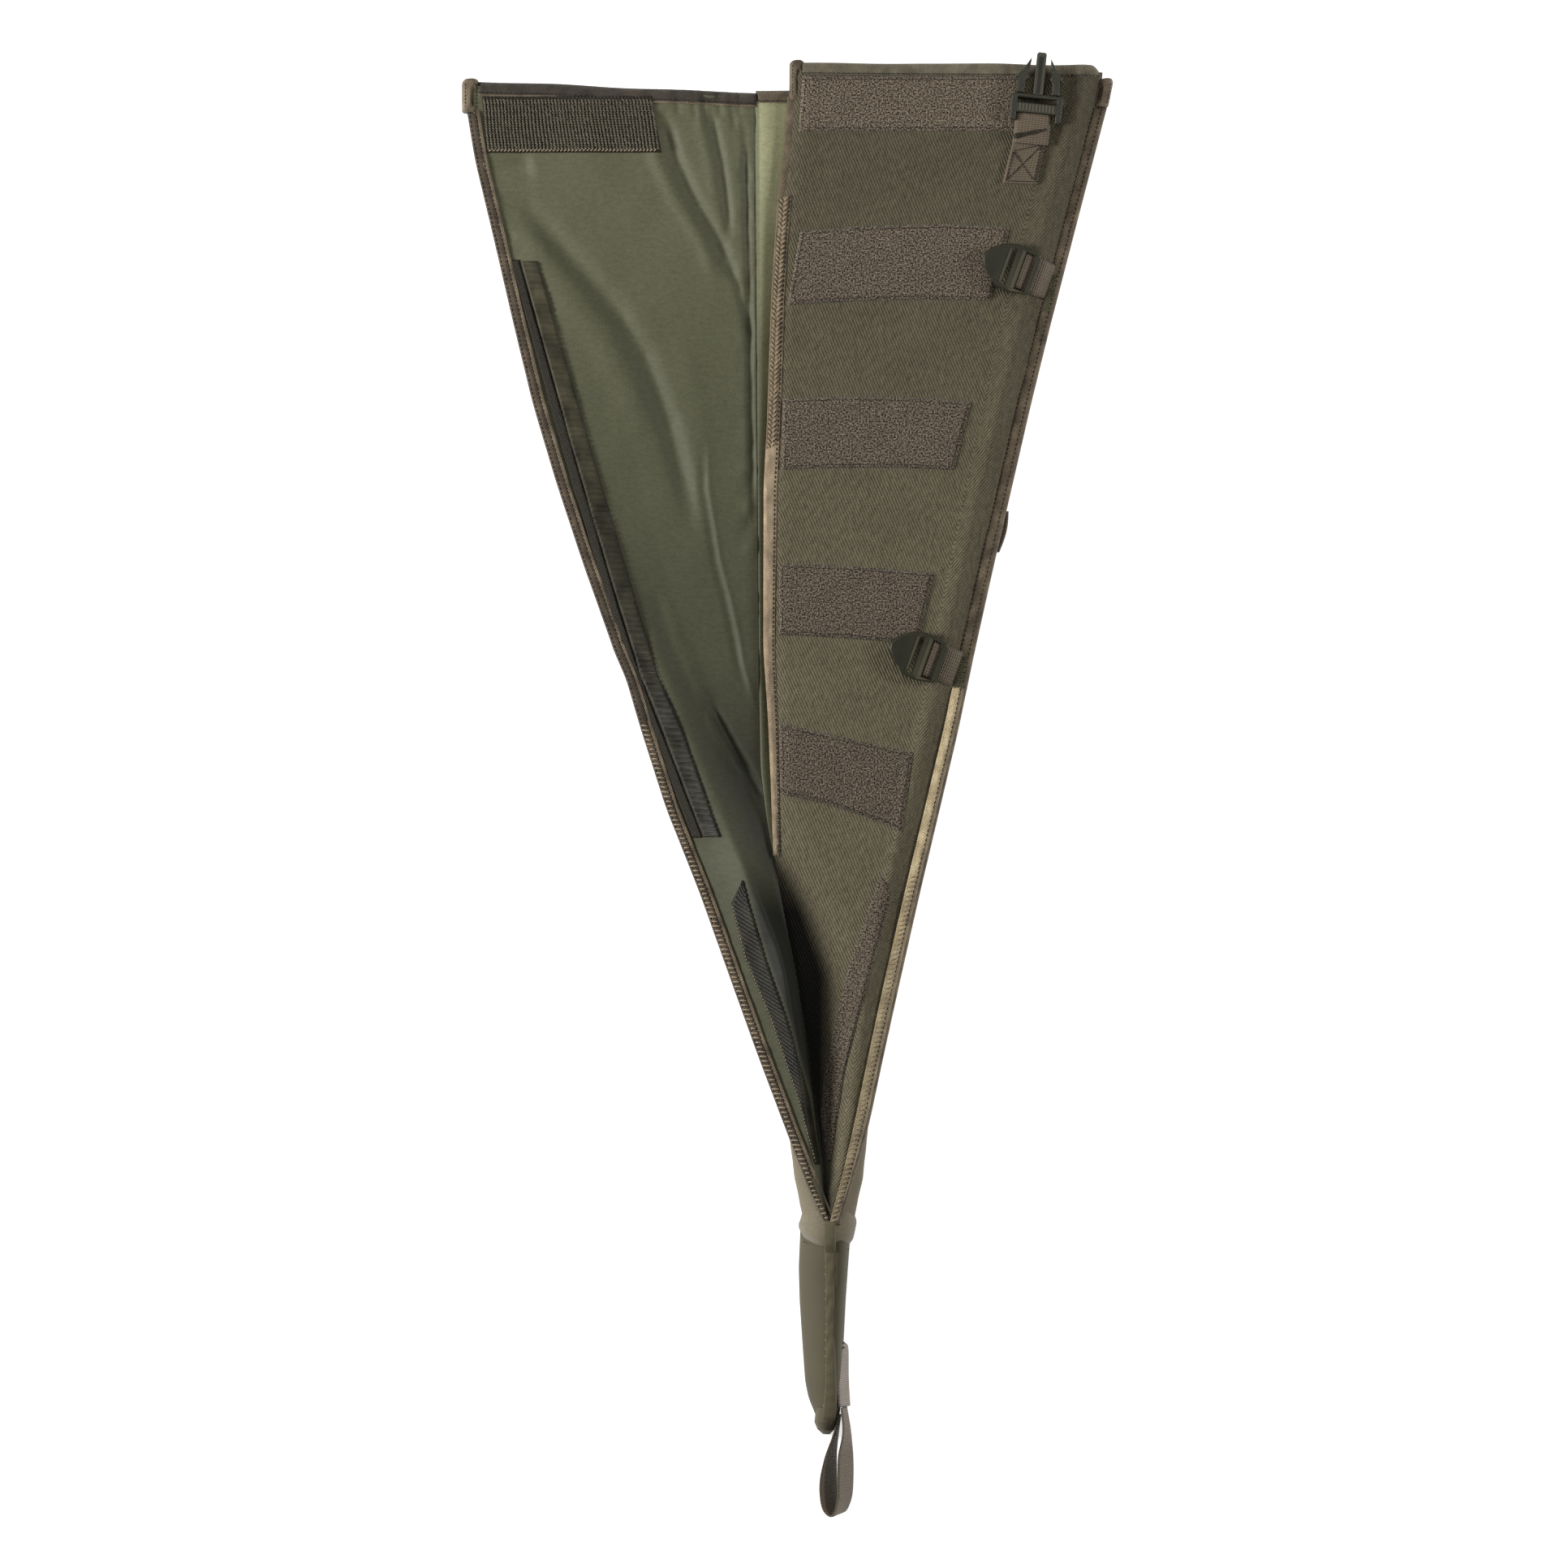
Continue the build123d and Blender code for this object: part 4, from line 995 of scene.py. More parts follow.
LONG_L = [(348, -185), (219, -149.7), (125.6, -122.2), (71.6, -104.8), (35.4, -91.8), (-35, -64)]
LONG_R = [(348, -167), (219, -129.8), (125.6, -102.3), (71.6, -86.4), (35.4, -70.2), (-35, -45)]
LONG_M = [(y, a + (b - a) * 0.36) for (y, a), (_, b) in zip(LONG_L, LONG_R)]


def pulls(y, x):
    """Slow puckers that the tape's stitching pulls into it."""
    tugs = ((1.3, 73, 9), (0.7, 205, 7))
    return 0.75 * wobble(x * 0.6, y, 38, 14) - sum(a * np.exp(-((y - b) / c) ** 2) for a, b, c in tugs)


def side_ribs(share, y, x):
    """Cross ribs of the side hook tape."""
    phase = y * 2 * math.pi / 3.8 + 0.8 * wobble(share * 6, y, 14, 12) + share * 1.1
    rib = np.abs(np.cos(phase / 2)) ** 0.55
    return 1.35 * rib * np.clip(share / 0.12, 0.15, 1) - 0.5 + pulls(y, x)


def lip_ribs(share, y, x):
    """Slanted ribs of the lower hook tape."""
    return 0.95 * (0.5 + 0.5 * np.cos((y * 0.9 + share * 9) * 2 * math.pi / 2.9)) ** 1.2 - 0.3


wing_piece(draped("hook_tape_side", LONG_L, LONG_M, rows(348, -36, 0.9),
                  lambda s, y, x: 0.1 * wobble(x, y, 6, 15) + pulls(y, x) * 0.5, HOOK_LONG, columns=8),
           "hook_tape", "hook_tape_long")
wing_piece(draped("hook_tape_side_ribs", LONG_M, LONG_R, rows(347, -35.5, 0.42), side_ribs, HOOK_RIB,
                  columns=15), "hook_tape")
ys = rows(346, -34, 1.5)
wing_piece(stitches("hook_tape_side_stitches", [on_wing(between(LONG_L, LONG_R, ys, 0.95), ys, 1.5)],
                    THREAD_DARK, pitch=3.2), "hook_tape")
wing_piece(draped("hook_tape_lip", LOW_L, LOW_R, rows(-64, -252, 0.6), lip_ribs, HOOK_RIB, lift=1.0),
           "hook_tape", "hook_tape_lower")
ys = rows(-81, -250, 1.5)
wing_piece(stitches("hook_tape_lip_stitches", [on_wing(at(LOW_L, ys) + 0.6, ys, 1.2)], THREAD_TAN, pitch=2.4,
                    long=1.5, thick=0.65), "hook_tape")


# ---------------------------------------------------------------- front panel
def front_left(y):
    return np.where(y > -48, soft(FREE, y, 8) + 2.0, soft(LIMIT, y, 6) + 0.2)


def front_right(y):
    return soft(RIGHT, y) - at(BIND_R, y) + 2.2


def chevron(x, y):
    """Weave coordinates that turn back along a line beside the right seam."""
    turn = soft(RIGHT, y) - at(BIND_R, y) - at([(480, 27), (-73, 14), (-280, 4)], y)
    return np.dstack([-np.abs(x - turn), y])


def front_skew(x, y):
    """The front panel's mouth edge runs slightly down towards the seam."""
    return y - (x - 8) * FRONT_SLOPE * past(y, 400, 60)


def front_painted_shade(x, y):
    """Painted shade deep inside the tube, to the left of its crown."""
    deep = at([(-48, 2), (-60, 6), (-90, 13), (-127, 19), (-181, 10), (-221, 5), (-255, 3)], y)
    return past(-y, 40, 45) * (1 - past(x - soft(LIMIT, y) - deep, -3, 11) ** 0.8)


cover = pad("front_pad", rows(474, LOW_Y + 4, 2.6), front_left, front_right, front, front_under, TWILL,
            columns=110, uv=chevron, skew=front_skew)
# Painted shade on the front panel inside the tube.
painted_shade(cover, front_painted_shade)
front_piece(cover, "twill", "front_panel_outer_cover", "front_panel_foam", "tube_front_outer_cover",
            "tube_front_foam")
under = cloth("front_lining_cloth", rows(472, LOW_Y + 12, 3.4), lambda y: front_left(y) + 2.5,
              lambda y: front_right(y) - 3, lambda x, y: front_under(x, y) + 0.25, LINING, columns=70,
              thick=0.6, skew=front_skew)
front_piece(under, "lining", "front_panel_lining", "tube_front_lining")

ys = rows(456, -48, 1.8)
x0, wide = soft(FREE, ys, 8), at(BIND_F, ys)
top = np.minimum(front(x0 + wide, ys) + 0.5, FREE_TAPE_TOP)
front_piece(binding("front_free_tape", cols(x0 + wide, ys), cols(x0, ys), (top + 10.3) / 2, (top - 10.3) / 2,
                    TAPE_TAN, groove=0.78, seed=13), "binding_tan", "front_free_edge_binding")
BAND_L = [(y, near(FREE, y, 8) + 1.6) for y in (400, 360, 320, 280, 240, 197, 89, 46, 0, -50)]
BAND_R = [(y, near(FREE, y, 8) + w)
          for y, w in ((400, 8.6), (360, 8.8), (320, 9), (280, 9.2), (240, 9.2), (197, 9), (89, 7.6),
                       (46, 6.6), (0, 5.8), (-50, 4.6))]


def band_relief(share, y, x):
    """Soft waves of the tape, with a groove under its stitching."""
    return 0.22 * wobble(x * 2, y, 9, 25) - 0.5 * np.exp(-((share - 0.76) / 0.1) ** 2)


for name, low, high, look in (("upper", 226, 390, TAPE_BROWN), ("lower", -47, 227, TAPE_FREE)):
    band = draped("front_free_band_" + name, BAND_L, BAND_R, rows(high, low, 1.5), band_relief, look,
                  columns=12, lift=0.8, surface=front)
    front_piece(band, "binding_tan")
dark_y = rows(456, 386, 1.8)
dark_x, dark_wide = soft(FREE, dark_y, 8), at(BIND_F, dark_y)
dark_top = np.minimum(front(dark_x + 8.6, dark_y) + 0.5, FREE_TAPE_TOP)
front_piece(binding("front_free_tape_dark", cols(dark_x + dark_wide, dark_y),
                    cols(dark_x - dark_wide * 0.06, dark_y), dark_top - 1.7, 2.0, TAPE_BROWN, depth=0.3,
                    seed=14), "binding_tan")
line_x = np.where(ys > 390, x0 + wide * 0.82, between(BAND_L, BAND_R, ys, 0.77))
line = cols(line_x, ys, np.where(ys > 390, top + 0.05, front(line_x, ys) + 1.0))
front_piece(stitches("front_free_stitches", [line], THREAD_DARK, pitch=3.1, long=2.3, thick=0.75),
            "binding_tan")
ys = rows(388, 222, 1.5)
x0, wide = soft(FREE, ys, 8), at(BIND_F, ys)
top = np.minimum(front(x0 + wide, ys) + 0.5, FREE_TAPE_TOP)
front_piece(binding("front_free_lacing_bed", cols(x0 + wide * 0.72, ys), cols(x0 + 0.2, ys), top - 1.4, 1.2,
                    TAPE_BROWN, depth=0, seed=24), "binding_tan")
for number, (a, slant) in enumerate(((0.34, 0.85), (0.7, -0.85))):
    spot = x0 + wide * a
    line = cols(spot, ys + number * 1.6, front(spot, ys) + 1.3)
    front_piece(stitches(f"front_free_lacing_{number + 1}", [line], THREAD_LACE, pitch=3.2, long=4.2,
                         thick=1.5, slant=slant), "binding_tan")
corner_tab("front_corner_fold", front_piece, "binding_dark", "front_corner_tab",
           (0.8, 11.2, 453, 480.6, 11, 18.6), slot=0.6)

xs = np.arange(9, 207.1, 1.9)
fall = (xs - 8) * FRONT_SLOPE
line_y = 478.4 - fall + 0.4 * wobble(xs, 0 * xs, 60, 32) - 5 * past(xs, 201, 6) ** 2
top = front(xs, 468 + 0 * xs) + 0.7
front_piece(binding("front_mouth_tape", cols(xs, 470.2 - fall), cols(xs, line_y), top - 3.9, 3.9, TAPE_TOP,
                    groove=0.88, seed=15, ripple=0.3), "binding_tan", "front_top_binding")
front_piece(stitches("front_mouth_stitches", [cols(xs, 471.2 - fall, top + 0.1)], THREAD_DARK), "binding_tan")


# Loop patches.
def patch(name, top_left, top_right, low_left, low_right, node, top_arch=0.0, low_arch=0.0):
    """Patch of loop tape on the front panel, between four corners, with stitches inside its rim."""
    (ax, ay), (bx, by), (cx, cy), (dx, dy) = top_left, top_right, low_left, low_right
    s, t = np.meshgrid(np.linspace(0, 1, int(abs(bx - ax) / 1.6)), np.linspace(0, 1, int(abs(ay - cy) / 1.6)))
    arch = 4 * s * (1 - s)
    ty, ly = ay + (by - ay) * s + top_arch * arch, cy + (dy - cy) * s + low_arch * arch
    x = (ax + (bx - ax) * s) * (1 - t) + (cx + (dx - cx) * s) * t
    y = ty * (1 - t) + ly * t
    inset = np.minimum(np.minimum(s, 1 - s) * (bx - ax), np.minimum(t, 1 - t) * (ay - cy))
    pile = 0.12 * wobble(x, y, 4, 41) + 0.2 * wobble(x, y, 20, 43)
    dent = 0.55 * np.exp(-((inset - 2.2) / 0.8) ** 2)
    z = front(x, y) + 0.35 + 1.35 * rounding(inset, 1.4) + (pile - dent) * np.clip(inset / 2, 0, 1)
    obj = shell(name, x, y, z, np.minimum(front(x, y) - 0.2, z - 0.3), PILE)
    front_piece(obj, "loop_tape", node)
    margin = 2.2
    u = np.linspace(0, 1, 40)
    edges = []
    for row, sign in ((0, 1), (-1, -1)):
        px = np.interp(u, s[row], x[row])
        py = np.interp(u, s[row], y[row]) - sign * margin
        inside = (px > min(ax, cx) + margin) & (px < max(bx, dx) - margin)
        edges.append(on_front(px[inside], py[inside], 1.35))
    for column, sign in ((0, 1), (-1, -1)):
        px = np.interp(u, t[:, column], x[:, column]) + sign * margin
        py = np.interp(u, t[:, column], y[:, column])
        edges.append(on_front(px, py, 1.35)[2:-2])
    front_piece(stitches(name + "_stitches", edges, THREAD_DARK, pitch=2.9, long=2.2, thick=0.6), "loop_tape")


patch("loop_patch_mouth", (9.5, 469), (155, 469), (7, 432.5), (153, 432.5), "loop_patch_1")
patch("loop_patch_upper", (8, 366), (147, 369), (-0.5, 317), (134, 320), "loop_patch_2", 3, 2)
patch("loop_patch_middle", (-3.5, 255), (121.5, 253), (-4.5, 208), (110, 208), "loop_patch_3", 2.5, 1.5)
patch("loop_patch_lower", (-6, 146), (96.7, 139.6), (-6, 98.5), (85.9, 92), "loop_patch_4", 1, 1)
patch("loop_patch_low", (-5.8, 39.7), (83.2, 20.4), (-5.2, -7.2), (75.6, -31.8), "loop_patch_5", 0, 3)

STRIP_L = [(-61.8, 61.2), (-99, 47.5), (-126.6, 38.9), (-153, 32.4), (-189.8, 24.3), (-220.6, 21.5),
           (-250, 26)]
STRIP_R = [(-61.8, 61.8), (-73.7, 68.6), (-94.8, 63.2), (-126.6, 54), (-153, 47), (-189.8, 37.8),
           (-220.6, 32.9), (-241, 29.7), (-250, 28)]
front_piece(draped("loop_strip_tube", STRIP_L, STRIP_R, rows(-62, -250, 1.3),
                   lambda s, y, x: 0.2 * wobble(x, y, 3.5, 44), PILE, columns=12, lift=1.2, surface=front),
            "loop_tape", "loop_strip_lower")
ys = rows(-76, -246, 1.5)
front_piece(stitches("loop_strip_stitches", [on_front(at(STRIP_R, ys) - 1.2, ys, 1.3)], THREAD_DARK,
                     pitch=2.9, long=2.2, thick=0.6), "loop_tape")

# ---------------------------------------------------------------- back panel and right seam
# Corners of the back panel's cross-section, each as (x profile, z profile), from the top left down and
# round to the top right.
OUTER = [
    ([(470, -21.6), (-73, -17.4), (-127, -1.3), (-181, 9.2), (-235, 17.7), (-289, 21.5)],
     [(470, 8.6), (-73, 8.6), (-127, 14.2), (-181, 20), (-235, 28), (-289, 35.5)]),
    ([(470, -21.6), (-73, -17.7), (-127, -14), (-181, -5), (-235, 0.4), (-289, 8)],
     [(470, 4), (-73, 4), (-127, 8), (-181, 10), (-235, 16), (-289, 22)]),
    ([(470, -17.5), (-73, -13.5), (-127, -8), (-181, 2), (-235, 9), (-289, 17)], [(470, 0.2), (-289, 0.2)]),
    ([(470, 195.4), (-73, 68.5), (-127, 60), (-181, 50), (-235, 43), (-289, 37)], [(470, 0.2), (-289, 0.2)]),
    ([(470, 205.4), (-73, 80.5), (-127, 74.4), (-181, 64), (-235, 52.4), (-289, 46)],
     [(470, 2.5), (-73, 4), (-127, 8), (-181, 11), (-235, 15), (-289, 20)]),
    ([(470, 206), (-73, 78.5), (-127, 66.5), (-181, 54), (-235, 41.5), (-289, 29)],
     [(470, 5.5), (-73, 10), (-127, 15.8), (-181, 22.3), (-235, 28.8), (-289, 33.3)])]


def closed(corners, counts, passes, close=()):
    """Ring of points through corners, with further points added, rounded by smoothing."""
    ring = []
    for (x0, z0), (x1, z1), count in zip(corners, corners[1:], counts):
        for t in np.arange(count) / count:
            ring.append((x0 + (x1 - x0) * t, z0 + (z1 - z0) * t))
    ring = np.array(ring + list(close))
    for _ in range(passes):
        ring = (np.roll(ring, 1, 0) + 2 * ring + np.roll(ring, -1, 0)) / 4
    return ring


def trough_ring(y, grow=0.0, low=0.0):
    """Closed cross-section of the back panel or of the boot under the tube."""
    corners = [(near(px, y, 10), near(pz, y, 10)) for px, pz in OUTER]
    centre = (corners[2][0] + corners[3][0]) / 2
    corners = [(x + grow * (1 if x > centre else -1) * (0 if z < 1 else 1), z) for x, z in corners]
    corners[1] = (corners[1][0], corners[1][1] - low)
    xs = np.linspace(corners[-1][0] - 0.6, max(corners[0][0] + 0.5, near(LIMIT, y, 8) + 0.6), 40)
    z = back(xs, y + 0 * xs) - 0.6 - 0.6 * np.clip((-y - 224) / -6, 0, 1)
    ring = closed(corners, (5, 6, 26, 6, 6), 3, [corners[-1], *zip(xs, z)])
    return cols(ring[:, 0], y, ring[:, 1])


rings = np.array([trough_ring(y) for y in rows(457, -224, 4)])
obj = root_piece(loft("back_pad", rings, TWILL, rings[..., :2]), "twill", "back_foam", "back_outer_cover")
under = cloth("back_lining_cloth", rows(452.6, LOW_Y + 4, 3), lambda y: soft(LIMIT, y, 8) - 0.05,
              lambda y: soft(RIGHT, y) - 10, back, LINING_BACK_PAINTED_LIGHT, columns=90)
root_piece(under, "lining", "back_lining")

xs = np.arange(-21.5, 207, 2.2)
line_y = 460.6 + 0.3 * wobble(xs, 0 * xs, 50, 52)
top = np.maximum(back(xs, 452 + 0 * xs), 8) + 0.5
root_piece(binding("back_mouth_tape", cols(xs, line_y - 8.4), cols(xs, line_y), top / 2, top / 2 - 0.1,
                   TAPE_BROWN, groove=0.8, seed=17), "binding_dark", "back_top_binding")
root_piece(stitches("back_mouth_stitches", [cols(xs, line_y - 7.2, top + 0.05)], THREAD_DARK), "binding_dark")

ys = rows(449, LOW_Y, 1.9)
x1, wide = soft(RIGHT, ys, 8), at(BIND_R, ys)
middle = soft(SEAM_Z, ys) - 2.4
root_piece(binding("right_seam_tape", cols(x1 - wide, ys), cols(x1, ys), middle, 4.1, TAPE_BROWN, groove=0.62,
                   ridge=0.5, seed=19), "binding_tan", "right_seam_binding")
gy = rows(64, LOW_Y + 1, 1.9)
gx, gw, gz = soft(RIGHT, gy, 8), at(BIND_R, gy), soft(SEAM_Z, gy)
root_piece(binding("right_seam_light_tape", cols(gx - gw, gy), cols(gx - 1.9, gy), gz, 2.7, TAPE_SEAM,
                   groove=0.5, depth=0.7, seed=29), "binding_tan")
gold = gy > -288
# Left half of the seam roll: gold tape with a painted highlight.
root_piece(binding("right_seam_ridge", cols(gx - gw + 0.1, gy)[gold], cols(gx - gw * 0.44, gy)[gold],
                   gz[gold] + 2.0, 1.5, TAPE_GOLD_PAINTED_LIGHT, depth=0.2, seed=20, ripple=0.2), "binding_tan")
root_piece(stitches("right_seam_whipping", [cols(gx - gw * 0.66, gy, gz + 3.3)[gy < -60]], THREAD_TAN,
                    pitch=3.3, long=4.2, thick=1.2, slant=-1.0), "binding_tan")
root_piece(stitches("right_seam_light_stitches", [cols(gx - gw * 0.42, gy, gz + 2.4)], THREAD_DARK, pitch=3.2,
                    long=1.6, thick=0.7), "binding_tan")
lines = [cols(x1 - wide * a, ys, middle + lift)[ys > 66] for a, lift in ((0.36, 3.7), (0.94, 4.1))]
root_piece(stitches("right_seam_stitches", lines, THREAD_DARK, pitch=3.1, long=2.3, thick=0.75),
           "binding_tan")
for number, (high, low) in enumerate(((338, 313), (85, 62))):
    y = rows(high, low, 1)
    x, w = soft(RIGHT, y, 8), at(BIND_R, y)
    for part, (a, slant) in enumerate(((0.72, 1.0), (0.5, -1.0))):
        tack = cols(x - w * a, y, soft(SEAM_Z, y) + 2.1)
        root_piece(stitches(f"seam_bartack_{number + 1}_{part + 1}", [tack], THREAD_GREEN, pitch=1.7,
                            long=3.4, thick=0.8, slant=slant), "binding_tan")
corner_tab("right_seam_fold", root_piece, "binding_tan", "right_seam_end_tab",
           (202.5, 212.7, 449, 468.8, 5.5, 15.5), lean=0.2, seed=6, slot=0.3)

ys = np.linspace(181, 154, 14)
bow = 1.7 * np.sin(np.linspace(0, math.pi, 14))
path = cols(soft(RIGHT, ys, 8) - 0.6 + bow, ys, 4.2)
root_piece(strap("back_strap_edge", path, (0.55, 0, 0.83), WEB, width=6.5, thick=2.2, columns=9), "webbing",
           "back_strap_fold")

# ---------------------------------------------------------------- boot, sleeve and muzzle loop
GROW = [(-222, 0.3), (-232, 1.6), (-262, 2.2), (-279, 0.8), (-294, -1.2)]
rings = []
for y in rows(-222, -294, 1.6):
    ring = trough_ring(y, grow=float(at(GROW, y)), low=1.5)
    x, z = ring[:, 0], ring[:, 2]
    rings.append(ring + cols(0.25 * wobble(x, ring[:, 1], 18, 61), 0, 0.2 * wobble(z, ring[:, 1], 15, 62)))
boot = root_piece(loft("boot_body", rings, SUEDE), "boot", "lower_boot")


def oval_ring(y, left, right, high, shape, drop=0.2):
    """Closed cross-section through corners given as shares of its width and height, rounded."""
    corners = [(left + (right - left) * a, high * b + drop) for a, b in shape]
    ring = closed(corners + corners[:1], [6] * len(corners), 14)
    low, size = ring.min(0), np.ptp(ring, axis=0)
    ring = (ring - low) / size
    return cols(left + (right - left) * ring[:, 0], y, drop + high * ring[:, 1])


ROUND = [(0.0, 0.45), (0.03, 0.16), (0.25, 0.0), (0.75, 0.0), (0.97, 0.16), (1.0, 0.5), (0.9, 0.86),
         (0.6, 1.0), (0.35, 0.97), (0.1, 0.8)]
SLEEVE_SHAPE = [(0.0, 0.4), (0.05, 0.12), (0.3, 0.0), (0.72, 0.0), (0.98, 0.14), (1.0, 0.44), (0.93, 0.84),
                (0.8, 1.0), (0.56, 0.96), (0.28, 0.78)]
HEM_L = [(-279, 11.5), (-286, 9.0), (-293, 7.0), (-299, 7), (-303, 7.6), (-306, 10)]
HEM_R = [(-279, 39.5), (-284, 43.0), (-290, 45.8), (-299, 44), (-303, 43), (-306, 40)]
HEM_H = [(-279, 26), (-285, 32), (-290, 36.5), (-295, 40.5), (-299, 40.5), (-303, 39.2), (-306, 35)]
rings = []
for y in rows(-279, -306.5, 0.9):
    ring = oval_ring(y, near(HEM_L, y, 2), near(HEM_R, y, 2), near(HEM_H, y, 2), ROUND)
    middle = (ring[:, 0] - 26) / 18
    ring[:, 1] += np.clip(-middle, 0, 1) ** 1.5 * 7 * past(-y, 290, 14)
    ring[:, 2] += 0.2 * wobble(ring[:, 0], ring[:, 2] + y, 12, 63)
    rings.append(ring)
root_piece(loft("boot_hem_roll", rings, SUEDE), "boot", "boot_hem")

SL_L = [(-298, 8), (-321, 7), (-343, 7.6), (-375, 9.7), (-397, 11.3), (-408, 13.5), (-419, 18.0), (-426, 21)]
SL_R = [(-298, 41.5), (-321, 39.8), (-343, 38.3), (-375, 36.7), (-397, 36.0), (-419, 34.4), (-426, 31.5)]
SL_H = [(-298, 37.5), (-341, 33), (-395, 28.6), (-419, 24), (-426, 19)]
rings = []
for y in rows(-296, -426, 1.8):
    ring = oval_ring(y, near(SL_L, y, 3), near(SL_R, y, 3), near(SL_H, y, 3), SLEEVE_SHAPE)
    ring[:, 2] += 0.45 * wobble(ring[:, 0] * 1.5, y + 0 * ring[:, 0], 34, 64) * np.clip(ring[:, 2] / 15, 0, 1)
    rings.append(ring)
root_piece(loft("muzzle_sleeve_tube", rings, SLEEVE), "sleeve", "muzzle_sleeve")
END_L = [(-416, 18.4), (-424, 17.4), (-429, 19.4), (-432.4, 23)]
END_R = [(-416, 33.6), (-424, 33), (-429, 31), (-432.4, 28)]
END_H = [(-416, 24.5), (-424, 22.6), (-429, 18), (-432.4, 9)]
rings = [oval_ring(y, *(float(at(profile, y)) for profile in (END_L, END_R, END_H)), ROUND, drop=0.3)
         for y in rows(-414, -432.4, 0.8)]
root_piece(loft("muzzle_end_fold", rings, SLEEVE), "sleeve", "muzzle_end_cap")


def sleeve_top(x, y):
    """Height of the sleeve's upper side."""
    left, right, high = soft(SL_L, y, 3), soft(SL_R, y, 3), soft(SL_H, y, 3)
    share = (x - left) / (right - left)
    return 0.2 + high * np.interp(share, [0, 0.1, 0.28, 0.56, 0.8, 0.93, 1],
                                  [0.42, 0.6, 0.78, 0.955, 0.985, 0.8, 0.5])


# Left and right side of the fold on the sleeve's front, as (y, left, right), and its height over the hem.
STRIP_X = [(-289, 23.4, 31.4), (-303, 24.0, 31.6), (-319, 24.6, 31.2), (-360, 25.2, 30.6), (-374, 25, 31.4),
           (-400, 24.6, 32), (-415, 23.4, 32.4), (-424, 22.4, 31), (-429, 23.4, 29)]
STRIP_HIGH = [(-289, 41.4), (-300, 41.2), (-305, 39.6), (-309, 36.5), (-313, 0)]
ys = rows(-289, -429, 1.1)
left, right = soft([(a, b) for a, b, _ in STRIP_X], ys, 4), soft([(a, c) for a, _, c in STRIP_X], ys, 4)
high = np.maximum(sleeve_top((left + right) / 2, ys), at(STRIP_HIGH, ys))
high = (high - 0.12 * np.maximum(-420 - ys, 0) ** 1.5 + 1.5 * np.clip((-296 - ys) / 14, 0.25, 1)
        + 0.3 * wobble(ys, 0 * ys, 30, 66))
# The raised fold takes the brighter copy of the sleeve cloth, a painted highlight.
root_piece(binding("sleeve_front_fold", cols(left, ys), cols(right, ys), high - 1.5, 2.1, SLEEVE_FOLD_PAINTED_LIGHT,
                   depth=0.25, groove=0.9, seed=23, ripple=0.25, ends=4), "sleeve", "sleeve_front_binding")
root_piece(stitches("sleeve_front_stitches", [cols(left + 0.1, ys, high - 0.6)[12:-14]], THREAD_TAN,
                    pitch=5.5, long=2.0, thick=0.5, slant=0.4, jitter=0.5), "sleeve")
x = np.linspace(10, 22, 12)
hem_lines = [cols(x, -303.5 - 0.35 * (x - 10), sleeve_top(x, -304 + 0 * x) + 0.1)]
x = np.linspace(32.5, 40, 8)
hem_lines.append(cols(x, -309.5 + 0.1 * (x - 32), sleeve_top(x, -309 + 0 * x) + 0.1))
root_piece(stitches("sleeve_hem_stitches", hem_lines, THREAD_DARK, pitch=2.0, long=1.0, thick=0.6), "sleeve")

low_edge = smooth_path([(38.8, -414, 1), (41.6, -430, 0.9), (43.4, -446, 0.9), (43.6, -462, 0.9),
                        (42.5, -475, 0.9), (38.5, -483.5, 0.9), (34.4, -480, 0.9), (32.9, -464, 0.9),
                        (32.6, -446, 1), (33.4, -432, 2), (34.9, -419, 5)], 10)
high_edge = smooth_path([(35.2, -414, 24.5), (36.2, -430, 24), (33.0, -446, 23.2), (32.6, -462, 22.8),
                         (32.2, -475, 22.6), (28.5, -485.8, 22.6), (22.6, -481, 22.6), (20.6, -466, 22.8),
                         (23.6, -449, 22.6), (30.0, -432, 21), (33.8, -419, 18.5)], 10)
across = high_edge - low_edge
loop = strap("muzzle_loop_webbing", (low_edge + high_edge) / 2, across, WEB,
             width=np.minimum(np.linalg.norm(across, axis=1), 25), thick=1.7)
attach(loop, "muzzle_loop")
listed(loop, ["muzzle_loop"])
path = smooth_path([(34.6, -372, 16.5), (36.2, -376, 15.5), (36.4, -395, 14.6), (37.4, -413.5, 13.4)])
root_piece(strap("loop_anchor_webbing", path, (-0.33, 0, 0.94), WEB_GREY, width=23, thick=2.0), "webbing",
           "muzzle_loop_anchor")
tack = cols(np.linspace(35.2, 37.6, 6), -371.2, np.linspace(22, 14, 6))
root_piece(stitches("loop_anchor_stitches", [tack, tack - (0, 3.2, 0)], THREAD_DARK, pitch=1.6, long=1.6,
                    thick=0.8, slant=0.6), "webbing")

# ---------------------------------------------------------------- hardware
TURN = math.radians(160)   # direction of the lock webbing, inwards from the seam
for name, y in (("upper", 333.0), ("lower", 76.0)):
    seam_x = np.interp(y, [-73, 480], [77.5, 209.8]) - 2
    seam_z = float(at(SEAM_Z, y))
    run = smooth_path([(-0.8, seam_z + 1.8), (1.6, seam_z + 4.1), (6, 20.9), (12.6, 21.7), (15.2, 23.6),
                       (17.3, 25.6), (19.2, 25.8), (19.9, 23.6)])
    path = cols(seam_x + run[:, 0] * math.cos(TURN), y + run[:, 0] * math.sin(TURN), run[:, 1])
    tab = strap(f"lock_webbing_{name}", path, (-math.sin(TURN), math.cos(TURN), 0), WEB, thick=1.6)
    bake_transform(tab)
    listed(tab, [f"lock_tab_{name}"])

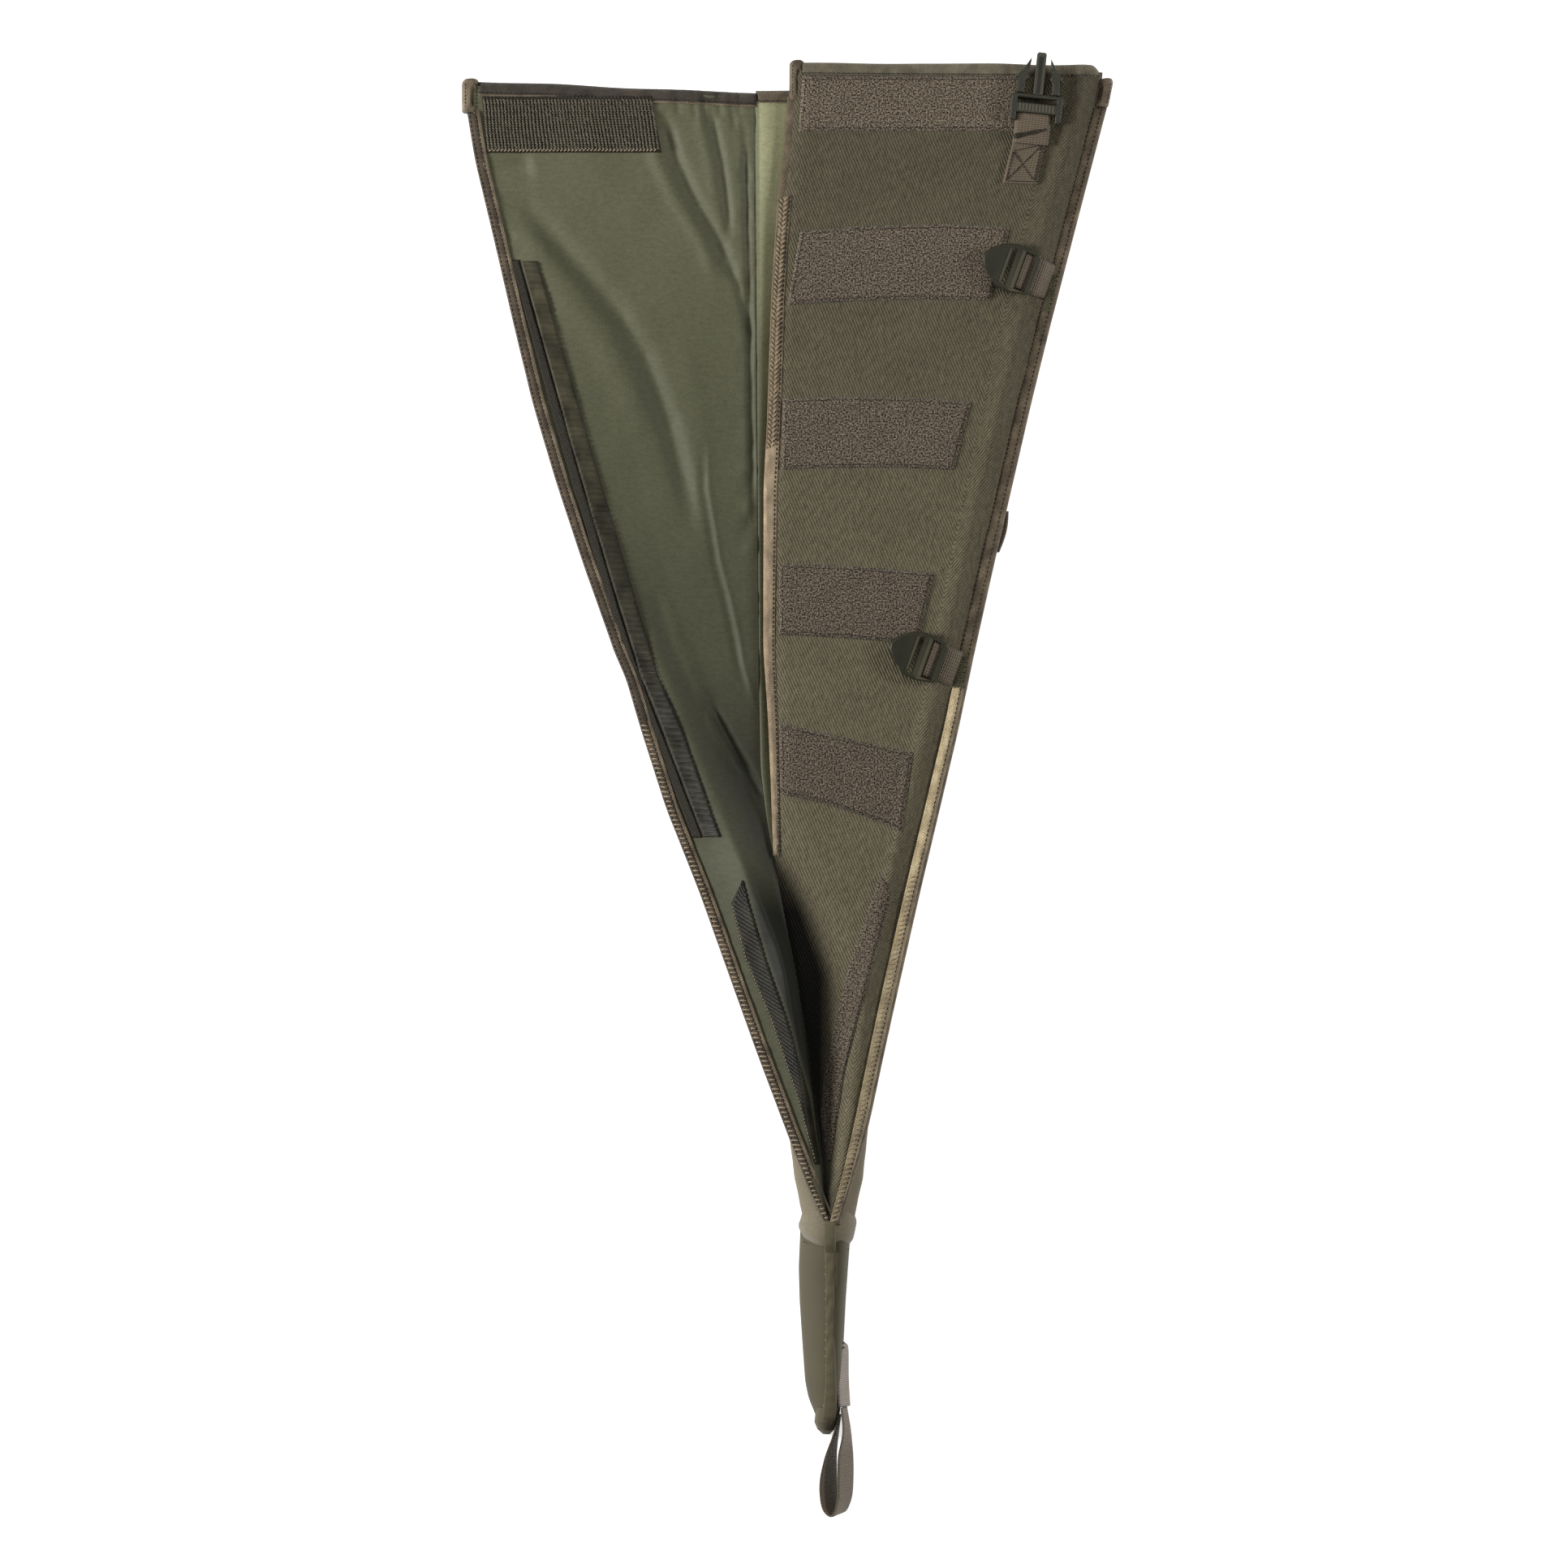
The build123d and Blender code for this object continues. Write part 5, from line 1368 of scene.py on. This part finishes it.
# Corners of the box-stitched tab.
TAB = np.array([[(148.8, 425.5), (172.0, 431.5)], [(141.8, 397.6), (164.6, 396.4)]])


def on_tab(s, t):
    """Place in plan on the sewn tab, from shares across and down it."""
    s, t = np.asarray(s)[..., None], np.asarray(t)[..., None]
    spot = (1 - t) * ((1 - s) * TAB[0, 0] + s * TAB[0, 1]) + t * ((1 - s) * TAB[1, 0] + s * TAB[1, 1])
    return spot[..., 0], spot[..., 1]


s, t = np.meshgrid(np.linspace(0, 1, 22), np.linspace(0, 1, 28))
x, y = on_tab(s, t)
inset = np.minimum(np.minimum(s, 1 - s) * 23, np.minimum(t, 1 - t) * 30)
z = front(x, y) + 0.3 + 2.2 * rounding(inset, 1.2) + 0.15 * wobble(x, y, 12, 71)
tab = shell("buckle_tab_webbing", x, y, z, front(x, y) + 0.05, WEB, np.dstack([t * 31, s * 23]))
front_piece(tab, "webbing", "buckle_strap_tab")
BOX = [[(0.1, 0.24), (0.9, 0.22)], [(0.9, 0.22), (0.9, 0.93)], [(0.9, 0.93), (0.1, 0.93)],
       [(0.1, 0.93), (0.1, 0.24)], [(0.12, 0.26), (0.88, 0.9)], [(0.88, 0.25), (0.12, 0.9)],
       [(0.96, 0.02), (0.96, 0.95)]]
box = [on_front(*on_tab(*np.array(pair).T), 2.5) for pair in BOX]
front_piece(stitches("buckle_tab_stitches", box, THREAD_DARK, pitch=2.2, long=1.9, thick=0.75), "webbing")

path = smooth_path([(160.4, 423.8, 24.6), (161.2, 430, 25.2), (162.0, 437, 26.3), (162.6, 442, 26.4),
                    (163.0, 445, 25.0), (163.2, 448.5, 22.9)])
buckle_piece(strap("buckle_webbing", path, (0.995, -0.1, 0), WEB, width=24), "webbing", "buckle_strap")
fold = cols(np.linspace(149, 172, 12), np.linspace(428.6, 433.6, 12), 26.2)
buckle_piece(stitches("buckle_webbing_fold", [fold], THREAD_DARK, pitch=1.45, long=3.4, thick=1.1,
                      slant=1.75), "webbing")

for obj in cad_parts.values():
    if not obj.hide_render:
        obj.data.materials.clear()
        obj.data.materials.append(PLASTIC)

# ---------------------------------------------------------------- floor, light and camera
bpy.ops.mesh.primitive_plane_add(size=6, location=(0, 0, -0.0002))
floor = bpy.context.object
floor.name = "floor"
paint = bpy.data.materials.new("floor_paint")
paint.use_nodes = True
for socket, value in (("Base Color", (0.75, 0.75, 0.75, 1)), ("Roughness", 0.9),
                      ("Emission Color", (1, 1, 1, 1)), ("Emission Strength", 0.72)):
    paint.node_tree.nodes["Principled BSDF"].inputs[socket].default_value = value
floor.data.materials.append(paint)

world = bpy.context.scene.world or bpy.data.worlds.new("studio")
bpy.context.scene.world = world
world.use_nodes = True
world.node_tree.nodes["Background"].inputs["Color"].default_value = (1, 1, 1, 1)
world.node_tree.nodes["Background"].inputs["Strength"].default_value = 0.22


def softbox(name, place, size, power):
    data = bpy.data.lights.new(name, "AREA")
    data.size = size
    data.energy = power
    lamp = bpy.data.objects.new(name, data)
    bpy.context.scene.collection.objects.link(lamp)
    lamp.location = place
    aim = -lamp.location.normalized()
    lamp.rotation_euler = aim.to_track_quat("-Z", "Y").to_euler()


softbox("light_left", (-2.35, 0.35, 1.1), 0.8, 98)
softbox("light_right", (2.2, 0.6, 1.05), 0.6, 30)
softbox("light_top", (0.1, 0.9, 2.4), 1.2, 12)

CAMERA_HEIGHT = 6          # in metres, straight above the case
VIEW_WIDTH = 1.0433        # width of the view on the floor
SENSOR = 36
camera_data = bpy.data.cameras.new("camera")
camera_data.sensor_width = SENSOR
camera_data.lens = SENSOR * CAMERA_HEIGHT / VIEW_WIDTH
camera_data.clip_end = 30
camera = bpy.data.objects.new("camera", camera_data)
bpy.context.scene.collection.objects.link(camera)
camera.location = (-0.0027, -0.0003, CAMERA_HEIGHT)
bpy.context.scene.camera = camera
bpy.context.scene.view_settings.view_transform = "Standard"
